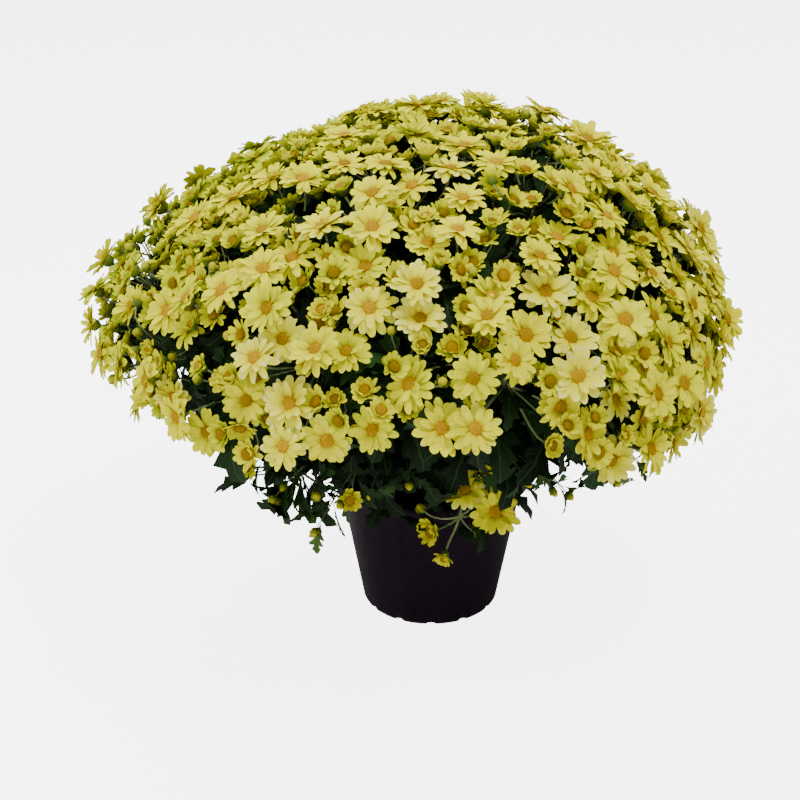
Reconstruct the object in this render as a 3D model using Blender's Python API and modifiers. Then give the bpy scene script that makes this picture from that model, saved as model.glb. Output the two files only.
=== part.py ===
# Pot chrysanthemum in full flower.
# A nursery pot holds potting mix. Leafy stems stand in plain holes in the mix, fork, and carry sprays of
# blooms, half-open cups and buds, whose faces make a wide dome. Metres, +Z up, the front faces -Y, and
# the origin is the middle of the pot's flat base.

import math

import bmesh
import bpy
import numpy as np
from mathutils import Matrix, Vector
from mathutils.bvhtree import BVHTree

MM = 0.001
SEED = 41

# Pot and potting mix
POT_HEIGHT = 150 * MM
POT_RIM_RADIUS = 104 * MM
POT_BASE_RADIUS = 70 * MM
POT_COLLAR_HEIGHT = 112 * MM
POT_COLLAR_RADIUS = 91 * MM
POT_WALL = 2.4 * MM
POT_FLOOR = 3.0 * MM
POT_LIP_DROP = 9 * MM
POT_LIP_PROUD = 1 * MM
POT_FLARE_POWER = 1.15
POT_CORNER = 6 * MM
# The outer corner is eased at this share of its height and width
POT_CORNER_EASE = 0.3
POT_SIDES = 26
DRAIN_COUNT = 4
DRAIN_RADIUS = 6 * MM
DRAIN_SIDES = 8
DRAIN_CIRCLE_RADIUS = 46 * MM
MIX_TOP = 128 * MM
MIX_CROWN = 4 * MM
GAP = 0.3 * MM

# Dome of flower heads
DOME_CENTRE = Vector((-16 * MM, 0.0, 292 * MM))
DOME_HALF_WIDTH = 309 * MM
DOME_RISE = 232 * MM
DOME_DROP = 205 * MM
# Lower edge of the dome: (azimuth right of the front, angle from straight up), in degrees
DOME_EDGE = ((-180, 104), (-120, 100), (-90, 90), (-62, 95), (-38, 98), (-24, 91), (-10, 84), (16, 82),
             (30, 97), (60, 106), (88, 110), (120, 106), (180, 104))
# Swellings and hollows of the dome: azimuth, angle from straight up, height, spread in degrees
DOME_SWELLS = ((96, 70, 10 * MM, 22), (82, 99, -17 * MM, 13), (-98, 80, 25 * MM, 22),
               (-80, 34, -15 * MM, 24), (66, 27, 20 * MM, 26), (150, 60, 12 * MM, 28),
               (-150, 70, 12 * MM, 26), (0, 60, 6 * MM, 25))
# Dark gaps that the heads leave open: azimuth, angle from straight up, radius
DOME_GAPS = ((17, 80, 31 * MM), (20, 58, 16 * MM), (-8, 47, 11 * MM), (-36, 60, 11 * MM),
             (140, 70, 24 * MM), (-130, 60, 18 * MM))

# Heads: share of all heads, then least and greatest radius
HEAD_LATTICE = 830
HEAD_LATTICE_JITTER = 0.035
HEAD_KINDS = {"open": (0.58, 19 * MM, 23.5 * MM), "cup": (0.27, 11.5 * MM, 15.5 * MM),
              "bud": (0.15, 4.4 * MM, 6.0 * MM)}
# Heads lie in two layers, each a little uneven. A cup sits lower, and a head may tuck under a rim above it
HEAD_LAYERS = (0.0, 16 * MM)
LAYER_UNEVENNESS = 3 * MM
CUP_SINK = 3 * MM
HEAD_CLEARANCE = 1.0 * MM
HEAD_TUCK = 4 * MM
SPREAD_ROUNDS = 120
SPREAD_STEP = 0.35
SPREAD_GAP_MARGIN = 14 * MM
# A head faces along the dome's normal, lifted towards the light, scattered, and cupped by its own amount
FACING_LIFT = np.array([0.0, 0.0, 0.22])
FACING_SCATTER = 0.13
CUPPING_LEAST = -2.5 * MM
CUPPING_MOST = 3 * MM
OPEN_PETALS = 6
OPEN_PETALS_SMALL = 5
SMALL_OPEN_RADIUS = 23 * MM
CUP_PETALS = 5
BUD_SIDES = 3
PEDICEL_RADIUS = 1.3 * MM
# How far the calyx lies behind each kind of head, and the rise of petal tips, notches and middles
CALYX_DROP = {"open": 9.5 * MM, "cup": 12 * MM, "bud": 6 * MM}
OPEN_NOTCH = (0.60, -1.5 * MM)
OPEN_TIP_RISE = 1.5 * MM
DISC_SHARE = 0.34
DISC_RISE = 1.2 * MM
DISC_CROWN = 4.5 * MM
CUP_NOTCH = (0.78, 1.5 * MM)
CUP_TIP_RISE = 5 * MM
CUP_HOLLOW = 4 * MM

# Sprays and stems
SPRAY_LATTICE = 80
SPRAY_LATTICE_JITTER = 0.02
SPRAY_HEADS_MAX = 13
SPRAY_ROUNDS = 14
SPRAY_DEPTH = 62 * MM
SPRAY_SKIN_DEPTH = 8 * MM
# Degrees that a spray's middle keeps above the dome's lower edge, at first and once it has its heads
SPRAY_FIRST_MARGIN = 4.0
SPRAY_MARGIN = 7.0
# A spray's axis: shares of the dome's normal and of straight up
SPRAY_AXIS_OUT = 0.75
SPRAY_AXIS_UP = 0.35
SPRAY_KNOT_RADIUS = 6.5 * MM
# Distance of an icosahedron's faces from its middle, as a share of its corners' distance
ICOSAHEDRON_FACE_SHARE = 0.7947
PEDICEL_FAN = 1.33
PEDICEL_FAN_LIMIT = math.radians(118)
STEM_COUNT = 8
STEM_CIRCLE_RADIUS = 46 * MM
STEM_HOLE_DEPTH = 30 * MM
STEM_HOLE_SIDES = 6
STEM_RADIUS = 5 * MM
STEM_COLLAR = 4 * MM
FORK_RADIUS = 9.5 * MM
FORK_CIRCLE_RADIUS = 84 * MM
FORK_HEIGHT = 208 * MM
FORK_LEAN = 0.5
CENTRE_FORK_HEIGHT = 262 * MM
BRANCH_RADIUS = 2.6 * MM
BRANCH_SEGMENTS = 4
BRANCH_BEND_REACH = 0.38
LEAF_KNOT_RADIUS = 5.5 * MM
LEAF_LENGTH = 60 * MM
LEAF_WIDTH = 42 * MM
LEAF_THICKNESS = 2.6 * MM
LEAF_LEAST_SIZE = 0.45
# One side of a leaf's outline, from its petiole to its tip: along, across and up, as shares of its size
LEAF_SIDE = ((0.13, 0.52, 0.0), (0.30, 0.98, -0.02), (0.43, 0.45, 0.0), (0.68, 0.86, -0.05),
             (0.76, 0.34, -0.03))
LEAF_TIP = (1.0, 0.0, -0.10)
LEAF_MIDDLE = 0.42
LEAFY_BRANCH_HEIGHT = 262 * MM
CENTRE_SHARE_RADIUS = 120 * MM
PETIOLE_LENGTH = 16 * MM
PETIOLE_RADIUS = 1.1 * MM
# A petiole leaves its facet by this share of the facet's normal, and the leaf keeps this share of it
PETIOLE_FACET_SHARE = 0.4
LEAF_FACET_SHARE = 0.7
# Leaves about a knot: how many, how far they droop, and the turn in radians from each to the next
BRANCH_LEAVES = (3, 0.35, 0.9)
FORK_LEAVES = (4, 0.1, 0.75)
CENTRE_LEAVES = (4, 0.1, 1.5)
LEAF_TURN_SCATTER = 0.15
LEAF_DROOP_SCATTER = 0.12
LEAF_SIZES = (0.82, 1.12)

# What each part that crosses another gives way by, in each round of clearing
CLEARING_ROUNDS = 60
LEAF_SHRINK = 0.93
LEAF_RISE = 0.04
HEAD_SHRINK = 0.975
HEAD_STEP = 1.2 * MM
SELF_CROSSING_SHRINK = 0.95
SELF_CROSSING_TURN = 0.3
BRANCH_STEP = 4 * MM
BRANCH_SINK = 3 * MM

UP = Vector((0.0, 0.0, 1.0))


# Scene and objects

def clear_scene():
    """Removes whatever the file holds, so that the model stands alone."""
    for thing in list(bpy.data.objects):
        bpy.data.objects.remove(thing, do_unlink=True)


def new_collection(name):
    """A collection linked to the scene."""
    collection = bpy.data.collections.new(name)
    bpy.context.scene.collection.children.link(collection)
    return collection


def principled(name, colour, roughness):
    """A plain Principled material."""
    material = bpy.data.materials.new(name)
    material.use_nodes = True
    shader = material.node_tree.nodes["Principled BSDF"]
    shader.inputs["Base Color"].default_value = (*colour, 1.0)
    shader.inputs["Roughness"].default_value = roughness
    shader.inputs["Metallic"].default_value = 0.0
    material.diffuse_color = (*colour, 1.0)
    return material


def new_object(name, points, faces, collection, material=None):
    """An object from points and faces, in its collection."""
    mesh = bpy.data.meshes.new(name)
    mesh.from_pydata([tuple(point) for point in points], [], faces)
    mesh.validate()
    thing = bpy.data.objects.new(name, mesh)
    collection.objects.link(thing)
    if material:
        mesh.materials.append(material)
    return thing


def turned(name, profile, collection, material=None):
    """Turns a profile of (radius, height) points about Z."""
    points = [(radius, 0.0, height) for radius, height in profile]
    edges = [(i, i + 1) for i in range(len(points) - 1)]
    mesh = bpy.data.meshes.new(name)
    mesh.from_pydata(points, edges, [])
    thing = bpy.data.objects.new(name, mesh)
    collection.objects.link(thing)
    if material:
        mesh.materials.append(material)
    screw = thing.modifiers.new("turn", "SCREW")
    screw.axis = "Z"
    screw.angle = math.tau
    screw.steps = POT_SIDES
    screw.render_steps = POT_SIDES
    screw.use_merge_vertices = True
    screw.merge_threshold = 0.1 * MM
    return thing


def cutter_prism(name, centre, radius, height, sides, collection):
    """An upright prism that a Boolean modifier cuts with."""
    bpy.ops.mesh.primitive_cylinder_add(vertices=sides, radius=radius, depth=height, location=centre)
    thing = bpy.context.object
    thing.name = name
    for owner in list(thing.users_collection):
        owner.objects.unlink(thing)
    collection.objects.link(thing)
    thing.hide_render = True
    thing.display_type = "WIRE"
    return thing


def cut(thing, cutter):
    """Takes the cutter's shape out of the object."""
    boolean = thing.modifiers.new("cut " + cutter.name, "BOOLEAN")
    boolean.operation = "DIFFERENCE"
    boolean.object = cutter


# Pot and potting mix

def pot_outside(height):
    """Outer radius of the pot: a straight taper, then a collar that flares to the rim."""
    if height <= POT_COLLAR_HEIGHT:
        return POT_BASE_RADIUS + (POT_COLLAR_RADIUS - POT_BASE_RADIUS) * height / POT_COLLAR_HEIGHT
    flare = (height - POT_COLLAR_HEIGHT) / (POT_HEIGHT - POT_COLLAR_HEIGHT)
    return POT_COLLAR_RADIUS + (POT_RIM_RADIUS - POT_COLLAR_RADIUS) * flare ** POT_FLARE_POWER


def pot_inside(height):
    """Inner radius of the pot at a height."""
    return pot_outside(height) - POT_WALL


def build_pot(collection, cutters):
    """One moulded shell: floor, tapered wall, flared collar, thicker lip, drainage holes."""
    plastic = principled("pot plastic", (0.035, 0.018, 0.03), 0.45)
    collar_steps = (POT_COLLAR_HEIGHT, 0.5 * (POT_COLLAR_HEIGHT + POT_HEIGHT))
    bend = POT_CORNER + POT_FLOOR
    ease = POT_CORNER_EASE * POT_CORNER
    lip_radius = POT_RIM_RADIUS + POT_LIP_PROUD
    inner = [(0.0, POT_FLOOR), (pot_inside(POT_FLOOR) - POT_CORNER, POT_FLOOR), (pot_inside(bend), bend)]
    inner += [(pot_inside(height), height) for height in collar_steps]
    lip_inner = [(POT_RIM_RADIUS - POT_WALL, POT_HEIGHT)]
    lip_outer = [(lip_radius, POT_HEIGHT - POT_LIP_PROUD), (lip_radius, POT_HEIGHT - POT_LIP_DROP)]
    outer = [(pot_outside(height), height) for height in reversed(collar_steps)]
    outer += [(pot_outside(POT_CORNER), POT_CORNER), (pot_outside(0.0) - ease, ease),
              (pot_outside(0.0) - POT_CORNER, 0.0), (0.0, 0.0)]
    pot = turned("pot", inner + lip_inner + lip_outer + outer, collection, plastic)
    for number in range(DRAIN_COUNT):
        angle = math.tau * (number + 0.5) / DRAIN_COUNT
        circle = Vector((math.cos(angle), math.sin(angle), 0.0)) * DRAIN_CIRCLE_RADIUS
        centre = circle + UP * POT_FLOOR / 2
        name = f"drain_{number + 1}"
        cut(pot, cutter_prism(name, centre, DRAIN_RADIUS, 3 * POT_FLOOR, DRAIN_SIDES, cutters))


def stem_feet():
    """Where each stem stands in the mix: a ring of stems and one in the middle."""
    feet = []
    for number in range(STEM_COUNT):
        azimuth = math.tau * (number + 0.5) / STEM_COUNT
        feet.append(Vector((math.sin(azimuth), -math.cos(azimuth), 0.0)) * STEM_CIRCLE_RADIUS)
    feet.append(Vector())
    return feet


def build_mix(collection, cutters):
    """Potting mix that fills the pot to its collar, with a plain hole round each stem."""
    soil = principled("potting mix", (0.035, 0.024, 0.016), 0.95)
    floor = POT_FLOOR + GAP
    bend = POT_CORNER + floor
    profile = [(0.0, MIX_TOP + MIX_CROWN), (pot_inside(MIX_TOP) - 2 * GAP, MIX_TOP),
               (pot_inside(POT_COLLAR_HEIGHT) - 2 * GAP, POT_COLLAR_HEIGHT),
               (pot_inside(bend) - GAP, bend + GAP), (pot_inside(floor) - POT_CORNER - GAP, floor),
               (0.0, floor)]
    mix = turned("potting_mix", profile, collection, soil)
    for number, foot in enumerate(stem_feet()):
        hole_height = 2 * STEM_HOLE_DEPTH
        centre = (foot.x, foot.y, MIX_TOP - STEM_HOLE_DEPTH + hole_height / 2)
        radius = (STEM_RADIUS + GAP) / math.cos(math.pi / STEM_HOLE_SIDES)
        cut(mix, cutter_prism(f"hole_{number + 1}", centre, radius, hole_height, STEM_HOLE_SIDES, cutters))


# The dome's shape

def direction_of(azimuth, polar):
    """Unit vector at an azimuth right of the front and an angle from straight up, in degrees."""
    azimuth = np.radians(azimuth)
    polar = np.radians(polar)
    flat = np.sin(polar)
    return np.stack([flat * np.sin(azimuth), -flat * np.cos(azimuth), np.cos(polar)], axis=-1)


def edge_polar(directions):
    """The dome's lower edge, as an angle from straight up, for unit directions."""
    azimuth = np.degrees(np.arctan2(directions[:, 0], -directions[:, 1]))
    knots = np.array(DOME_EDGE)
    return np.interp(azimuth, knots[:, 0], knots[:, 1])


def dome_axes(directions):
    """Half axes of the dome for unit directions: it drops less below its widest ring than it rises."""
    axes = np.full((len(directions), 3), DOME_HALF_WIDTH)
    axes[:, 2] = np.where(directions[:, 2] > 0.0, DOME_RISE, DOME_DROP)
    return axes


def dome_point(directions, depth):
    """Points a depth under the dome's skin, with the skin's outward normals."""
    axes = dome_axes(directions)
    swell = np.zeros(len(directions))
    for azimuth, polar, height, spread in DOME_SWELLS:
        apart = np.degrees(np.arccos(np.clip(directions @ direction_of(azimuth, polar), -1.0, 1.0)))
        swell += height * np.exp(-(apart / spread) ** 2)
    normals = directions / axes
    normals /= np.linalg.norm(normals, axis=1)[:, None]
    points = np.array(DOME_CENTRE) + directions * axes + normals * (swell - depth)[:, None]
    return points, normals


def dome_direction(points):
    """Unit directions of points near the dome's skin."""
    offset = points - np.array(DOME_CENTRE)
    directions = offset / dome_axes(offset)
    return directions / np.linalg.norm(directions, axis=1)[:, None]


def hold_above_edge(directions, margin):
    """Lifts directions that lie below the dome's lower edge, less a margin in degrees, up to it."""
    azimuth = np.arctan2(directions[:, 0], -directions[:, 1])
    polar = np.arccos(np.clip(directions[:, 2], -1.0, 1.0))
    polar = np.minimum(polar, np.radians(edge_polar(directions) - margin))
    return direction_of(np.degrees(azimuth), np.degrees(polar))


def lattice(count, margin, random, jitter):
    """A Fibonacci lattice on the sphere, jittered, of which the points above the dome's edge are kept."""
    number = np.arange(count) + 0.5
    height = 1.0 - 2.0 * number / count
    angle = number * math.pi * (3.0 - math.sqrt(5.0))
    flat = np.sqrt(1.0 - height ** 2)
    points = np.stack([flat * np.cos(angle), flat * np.sin(angle), height], axis=1)
    points += random.normal(0.0, jitter, points.shape)
    points /= np.linalg.norm(points, axis=1)[:, None]
    polar = np.degrees(np.arccos(points[:, 2]))
    return points[polar < edge_polar(points) - margin]


def spread_apart(directions, depth, needed, margin, rounds, blocked=()):
    """Moves points on the dome until each pair is as far apart as the matrix needed says."""
    for _ in range(rounds):
        points, _ = dome_point(directions, depth)
        apart = points[:, None, :] - points[None, :, :]
        distance = np.linalg.norm(apart, axis=2) + np.eye(len(points))
        short = np.clip(needed - distance, 0.0, None)
        np.fill_diagonal(short, 0.0)
        shift = (apart / distance[:, :, None] * short[:, :, None]).sum(axis=1) * SPREAD_STEP
        for azimuth, polar, radius in blocked:
            centre, _ = dome_point(direction_of(azimuth, polar)[None, :], np.zeros(1))
            away = points - centre
            reach = np.linalg.norm(away, axis=1)
            shift += away / reach[:, None] * np.clip(radius + SPREAD_GAP_MARGIN - reach, 0.0, None)[:, None]
        base = np.array(DOME_CENTRE) + directions * dome_axes(directions)
        directions = hold_above_edge(dome_direction(base + shift), margin)
    return directions


# Bodies grown ring by ring

class Body:
    """Points and outward triangles of one closed solid. Each triangle knows the part that owns it."""

    def __init__(self):
        self.points = []
        self.faces = []
        self.owners = []

    def ring(self, points):
        """Adds points and returns their numbers."""
        start = len(self.points)
        self.points += [Vector(point) for point in points]
        return list(range(start, start + len(points)))

    def face(self, corners, owner):
        """Adds one triangle."""
        self.faces.append(tuple(corners))
        self.owners.append(owner)

    def stitch(self, lower, upper, owner):
        """Joins two closed rings, which may have unlike counts, with a band of triangles."""
        i = 0
        j = 0
        while i < len(lower) or j < len(upper):
            if (i + 1) * len(upper) <= (j + 1) * len(lower):
                self.face((lower[i % len(lower)], lower[(i + 1) % len(lower)], upper[j % len(upper)]), owner)
                i += 1
            else:
                self.face((lower[i % len(lower)], upper[(j + 1) % len(upper)], upper[j % len(upper)]), owner)
                j += 1

    def close(self, ring, apex, owner):
        """Closes a ring with a fan to one point."""
        top = self.ring([apex])[0]
        for i in range(len(ring)):
            self.face((ring[i], ring[(i + 1) % len(ring)], top), owner)


class Knot:
    """An icosahedron whose facets grow into stalks, branches and leaves. What is left stays as its skin."""

    def __init__(self, body, centre, axis, radius, owner):
        ball = bmesh.new()
        bmesh.ops.create_icosphere(ball, subdivisions=1, radius=radius)
        ball.normal_update()
        ball.faces.ensure_lookup_table()
        turn = ball.faces[0].normal.rotation_difference(-axis).to_matrix()
        self.body = body
        self.owner = owner
        numbers = body.ring([centre + turn @ corner.co for corner in ball.verts])
        self.facets = [[numbers[corner.index] for corner in face.verts] for face in ball.faces]
        self.normals = [turn @ face.normal for face in ball.faces]
        self.free = set(range(len(self.facets)))
        ball.free()

    def take(self, facet):
        """Opens a facet and returns its ring."""
        self.free.discard(facet)
        return self.facets[facet]

    def match(self, directions):
        """Gives each direction a free facet of its own, so that the sum of the squared angles is least."""
        free = sorted(self.free)
        cost = [[direction.angle(self.normals[facet]) ** 2 for facet in free] for direction in directions]
        chosen = []
        for row in cost:
            order = sorted((value, column) for column, value in enumerate(row) if column not in chosen)
            chosen.append(order[0][1])
        better = True
        while better:
            better = False
            for i in range(len(chosen)):
                for column in range(len(free)):
                    old = cost[i][chosen[i]]
                    new = cost[i][column]
                    if column in chosen:
                        k = chosen.index(column)
                        old += cost[k][column]
                        new += cost[k][chosen[i]]
                        if new < old - 1e-9:
                            chosen[k] = chosen[i]
                            chosen[i] = column
                            better = True
                    elif new < old - 1e-9:
                        chosen[i] = column
                        better = True
        return [free[column] for column in chosen]

    def finish(self):
        """Adds the facets that nothing grew from."""
        for facet in sorted(self.free):
            self.body.face(self.facets[facet], self.owner)


def carried_ring(body, source, normal, centre, axis, radius, count=3):
    """Points round a new centre, square to axis, that start in line with the source ring's first point."""
    middle = sum((body.points[i] for i in source), Vector()) / len(source)
    turn = normal.rotation_difference(axis).to_matrix()
    first = turn @ (body.points[source[0]] - middle)
    first = (first - axis * first.dot(axis)).normalized()
    side = axis.cross(first)
    points = []
    for i in range(count):
        angle = math.tau * i / count
        points.append(centre + (first * math.cos(angle) + side * math.sin(angle)) * radius)
    return points


def grow_tube(body, source, normal, path, owner):
    """Carries a ring along a path of (centre, axis, radius) and returns the last ring."""
    ring = source
    for centre, axis, radius in path:
        upper = body.ring(carried_ring(body, ring, normal, centre, axis, radius))
        body.stitch(ring, upper, owner)
        ring = upper
        normal = axis
    return ring


def join_facet(body, ring, facet, owner):
    """Joins a tube's last ring to the facet of a knot that faces it."""
    turned_over = list(reversed(facet))
    orders = [turned_over[i:] + turned_over[:i] for i in range(3)]
    best = min(orders, key=lambda order: sum((body.points[a] - body.points[b]).length
                                             for a, b in zip(ring, order)))
    body.stitch(ring, best, owner)


# Flower heads

class Head:
    """One flower head: its kind, place, facing, radius and own cupping, and whether its disc shows."""

    def __init__(self, kind, place, facing, radius, cupping=0.0, disc=True):
        self.kind = kind
        self.place = Vector(place)
        self.facing = Vector(facing).normalized()
        self.radius = radius
        self.cupping = cupping
        self.disc = disc


def star(body, ring, head, petals, tip_rise, notch):
    """The rim of a head: petal tips, and notches between them at a share of the radius and a rise."""
    share, rise = notch
    points = carried_ring(body, ring, head.facing, head.place, head.facing, head.radius, 2 * petals)
    for i in range(1, 2 * petals, 2):
        points[i] = head.place + (points[i] - head.place) * share + head.facing * rise
    for i in range(0, 2 * petals, 2):
        points[i] = points[i] + head.facing * tip_rise
    return body.ring(points)


def grow_head(body, facet, normal, head, owner):
    """A pedicel from a knot's facet, a calyx and the head on it."""
    calyx = head.place - head.facing * CALYX_DROP[head.kind]
    ring = grow_tube(body, facet, normal, [(calyx, head.facing, PEDICEL_RADIUS)], owner)
    if head.kind == "open":
        petals = OPEN_PETALS if head.radius > SMALL_OPEN_RADIUS else OPEN_PETALS_SMALL
        rim = star(body, ring, head, petals, OPEN_TIP_RISE + head.cupping, OPEN_NOTCH)
        body.stitch(ring, rim, owner)
        if head.disc:
            edge = head.place + head.facing * DISC_RISE
            disc = body.ring(carried_ring(body, ring, head.facing, edge, head.facing,
                                          DISC_SHARE * head.radius))
            body.stitch(rim, disc, owner)
            rim = disc
        body.close(rim, head.place + head.facing * DISC_CROWN, owner)
    elif head.kind == "cup":
        rim = star(body, ring, head, CUP_PETALS, CUP_TIP_RISE, CUP_NOTCH)
        body.stitch(ring, rim, owner)
        body.close(rim, head.place - head.facing * CUP_HOLLOW, owner)
    else:
        belly = body.ring(carried_ring(body, ring, head.facing, head.place, head.facing, head.radius,
                                       BUD_SIDES))
        body.stitch(ring, belly, owner)
        body.close(belly, head.place + head.facing * head.radius, owner)


def dome_heads(random):
    """Flower heads over the whole dome, spread until they clear each other in two layers. The discs of the
    lower layer are half hidden, and stay plain."""
    directions = lattice(HEAD_LATTICE, 0.0, random, HEAD_LATTICE_JITTER)
    count = len(directions)
    draw = random.random(count)
    opened = HEAD_KINDS["open"][0]
    cupped = opened + HEAD_KINDS["cup"][0]
    kinds = np.where(draw < opened, "open", np.where(draw < cupped, "cup", "bud"))
    radii = np.array([random.uniform(*HEAD_KINDS[kind][1:]) for kind in kinds])
    layer = random.integers(0, len(HEAD_LAYERS), count)
    depth = np.array(HEAD_LAYERS)[layer] + random.uniform(-LAYER_UNEVENNESS, LAYER_UNEVENNESS, count)
    depth += np.where(kinds == "cup", CUP_SINK, 0.0)
    same = layer[:, None] == layer[None, :]
    lower = np.where(layer[:, None] > layer[None, :], radii[:, None], radii[None, :])
    beside = np.hypot(lower + HEAD_TUCK, depth[:, None] - depth[None, :])
    needed = np.where(same, radii[:, None] + radii[None, :] + HEAD_CLEARANCE, beside)
    directions = spread_apart(directions, depth, needed, 0.0, SPREAD_ROUNDS, DOME_GAPS)
    places, normals = dome_point(directions, depth)
    heads = []
    for number in range(count):
        facing = normals[number] + FACING_LIFT + random.normal(0.0, FACING_SCATTER, 3)
        cupping = float(random.uniform(CUPPING_LEAST, CUPPING_MOST))
        heads.append(Head(str(kinds[number]), places[number], facing, float(radii[number]), cupping,
                          bool(layer[number] == 0)))
    return heads


# Sprays

class Spray:
    """Heads whose pedicels meet at one knot, the tip of a branch."""

    def __init__(self, name, hub, axis, heads):
        self.name = name
        self.hub = Vector(hub)
        self.axis = Vector(axis).normalized()
        self.heads = heads

    def seat(self):
        """Middle of the face under the knot, where the branch meets it."""
        return self.hub - self.axis * SPRAY_KNOT_RADIUS * ICOSAHEDRON_FACE_SHARE

    def grow(self):
        """The spray's solid: the knot, and each pedicel and head from a facet of its own."""
        body = Body()
        knot = Knot(body, self.hub, self.axis, SPRAY_KNOT_RADIUS, (self.name, "knot", 0))
        knot.free.discard(0)
        directions = [self.fanned(head) for head in self.heads]
        facets = knot.match(directions)
        knot.free.add(0)
        for number, (head, facet) in enumerate(zip(self.heads, facets)):
            grow_head(body, knot.take(facet), knot.normals[facet], head, (self.name, "head", number))
        knot.finish()
        return body

    def fanned(self, head):
        """Direction in which a pedicel leaves the knot: opened out from the axis by a third."""
        towards = (head.place - head.facing * CALYX_DROP[head.kind] - self.hub).normalized()
        angle = self.axis.angle(towards)
        hinge = self.axis.cross(towards)
        if hinge.length < 1e-6:
            return towards
        opened = min(angle * PEDICEL_FAN, PEDICEL_FAN_LIMIT)
        return Matrix.Rotation(opened, 3, hinge.normalized()) @ self.axis


def dome_sprays(random, heads):
    """Gathers the dome's heads into sprays of like size, each round a knot under its own heads."""
    directions = lattice(SPRAY_LATTICE, SPRAY_FIRST_MARGIN, random, SPRAY_LATTICE_JITTER)
    depth = np.full(len(directions), SPRAY_DEPTH)
    places = np.array([head.place for head in heads])
    for _ in range(SPRAY_ROUNDS):
        skin, _ = dome_point(directions, np.full(len(directions), SPRAY_SKIN_DEPTH))
        reach = np.linalg.norm(skin[None, :, :] - places[:, None, :], axis=2)
        groups = [[] for _ in directions]
        for number in np.argsort(reach.min(axis=1)):
            nearest = np.argsort(reach[number])
            with_room = [group for group in nearest if len(groups[group]) < SPRAY_HEADS_MAX]
            groups[with_room[0]].append(number)
        middles = np.array([places[group].mean(axis=0) for group in groups])
        directions = hold_above_edge(dome_direction(middles), SPRAY_MARGIN)
    hubs, normals = dome_point(directions, depth)
    sprays = []
    for hub, normal, group in zip(hubs, normals, groups):
        axis = Vector(normal) * SPRAY_AXIS_OUT + UP * SPRAY_AXIS_UP
        sprays.append(Spray(f"spray_{len(sprays) + 1:02d}", hub, axis, [heads[number] for number in group]))
    return sprays


def low_sprays():
    """The spray that hangs over the pot's front, and the sparse one at its lower left."""
    front = [Head("open", (0.060, -0.137, 0.165), (0.25, -1.0, 0.25), 23 * MM),
             Head("open", (0.030, -0.133, 0.187), (-0.25, -1.0, 0.85), 20 * MM, 3 * MM),
             Head("cup", (0.058, -0.136, 0.212), (0.2, -0.6, 1.0), 17 * MM),
             Head("cup", (-0.004, -0.133, 0.140), (-1.0, -0.7, 0.1), 16 * MM),
             Head("cup", (0.010, -0.134, 0.110), (-0.3, -0.8, -0.6), 12 * MM),
             Head("bud", (-0.012, -0.128, 0.164), (-0.8, -0.3, 0.9), 5.4 * MM),
             Head("bud", (0.046, -0.128, 0.134), (0.6, -0.6, -0.2), 5.4 * MM)]
    left = [Head("cup", (-0.080, -0.166, 0.190), (0.3, -1.0, 0.2), 13 * MM),
            Head("bud", (-0.112, -0.170, 0.196), (-0.1, -1.0, 0.4), 5.4 * MM),
            Head("bud", (-0.150, -0.166, 0.188), (-0.6, -0.8, 0.1), 5.4 * MM),
            Head("cup", (-0.178, -0.160, 0.222), (-0.7, -0.8, 0.4), 14 * MM),
            Head("bud", (-0.186, -0.130, 0.196), (-1.0, -0.4, 0.1), 5.0 * MM)]
    return [Spray("spray_front_low", (0.026, -0.125, 0.154), (0.0, -0.8, -0.6), front),
            Spray("spray_left_low", (-0.128, -0.128, 0.205), (-0.6, -0.8, -0.15), left)]


# Leafy stems

class Leaf:
    """One lobed leaf that grows from a facet of a knot."""

    def __init__(self, lean, size):
        self.lean = Vector(lean)
        self.size = size


def grow_leaf(body, facet, normal, leaf, owner):
    """A petiole, and a blade with five lobes, thickest along its middle."""
    start = sum((body.points[i] for i in facet), Vector()) / 3
    along = (normal * LEAF_FACET_SHARE + leaf.lean).normalized()
    across = along.cross(UP).normalized()
    up = across.cross(along)
    petiole = normal * PETIOLE_FACET_SHARE + along * (1.0 - PETIOLE_FACET_SHARE)
    base = start + petiole * PETIOLE_LENGTH * leaf.size
    ring = grow_tube(body, facet, normal, [(base, along, PETIOLE_RADIUS)], owner)
    length = LEAF_LENGTH * leaf.size
    half = LEAF_WIDTH * leaf.size / 2
    places = [*LEAF_SIDE, LEAF_TIP, *((u, -v, w) for u, v, w in reversed(LEAF_SIDE))]
    outline = body.ring([base + along * (u * length) + across * (v * half) + up * (w * length)
                         for u, v, w in places])
    middle = base + along * (LEAF_MIDDLE * length)
    top, under = body.ring([middle + up * LEAF_THICKNESS / 2, middle - up * LEAF_THICKNESS / 2])
    lowest = min(ring, key=lambda i: (body.points[i] - base).dot(up))
    at = ring.index(lowest)
    last = ring[(at + 1) % 3]
    first = ring[(at + 2) % 3]
    loop = [first] + outline + [last]
    for i, j in zip(loop[:-1], loop[1:]):
        body.face((i, j, top), owner)
        body.face((j, i, under), owner)
    body.face((last, first, top), owner)
    body.face((lowest, last, under), owner)
    body.face((first, lowest, under), owner)


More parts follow.
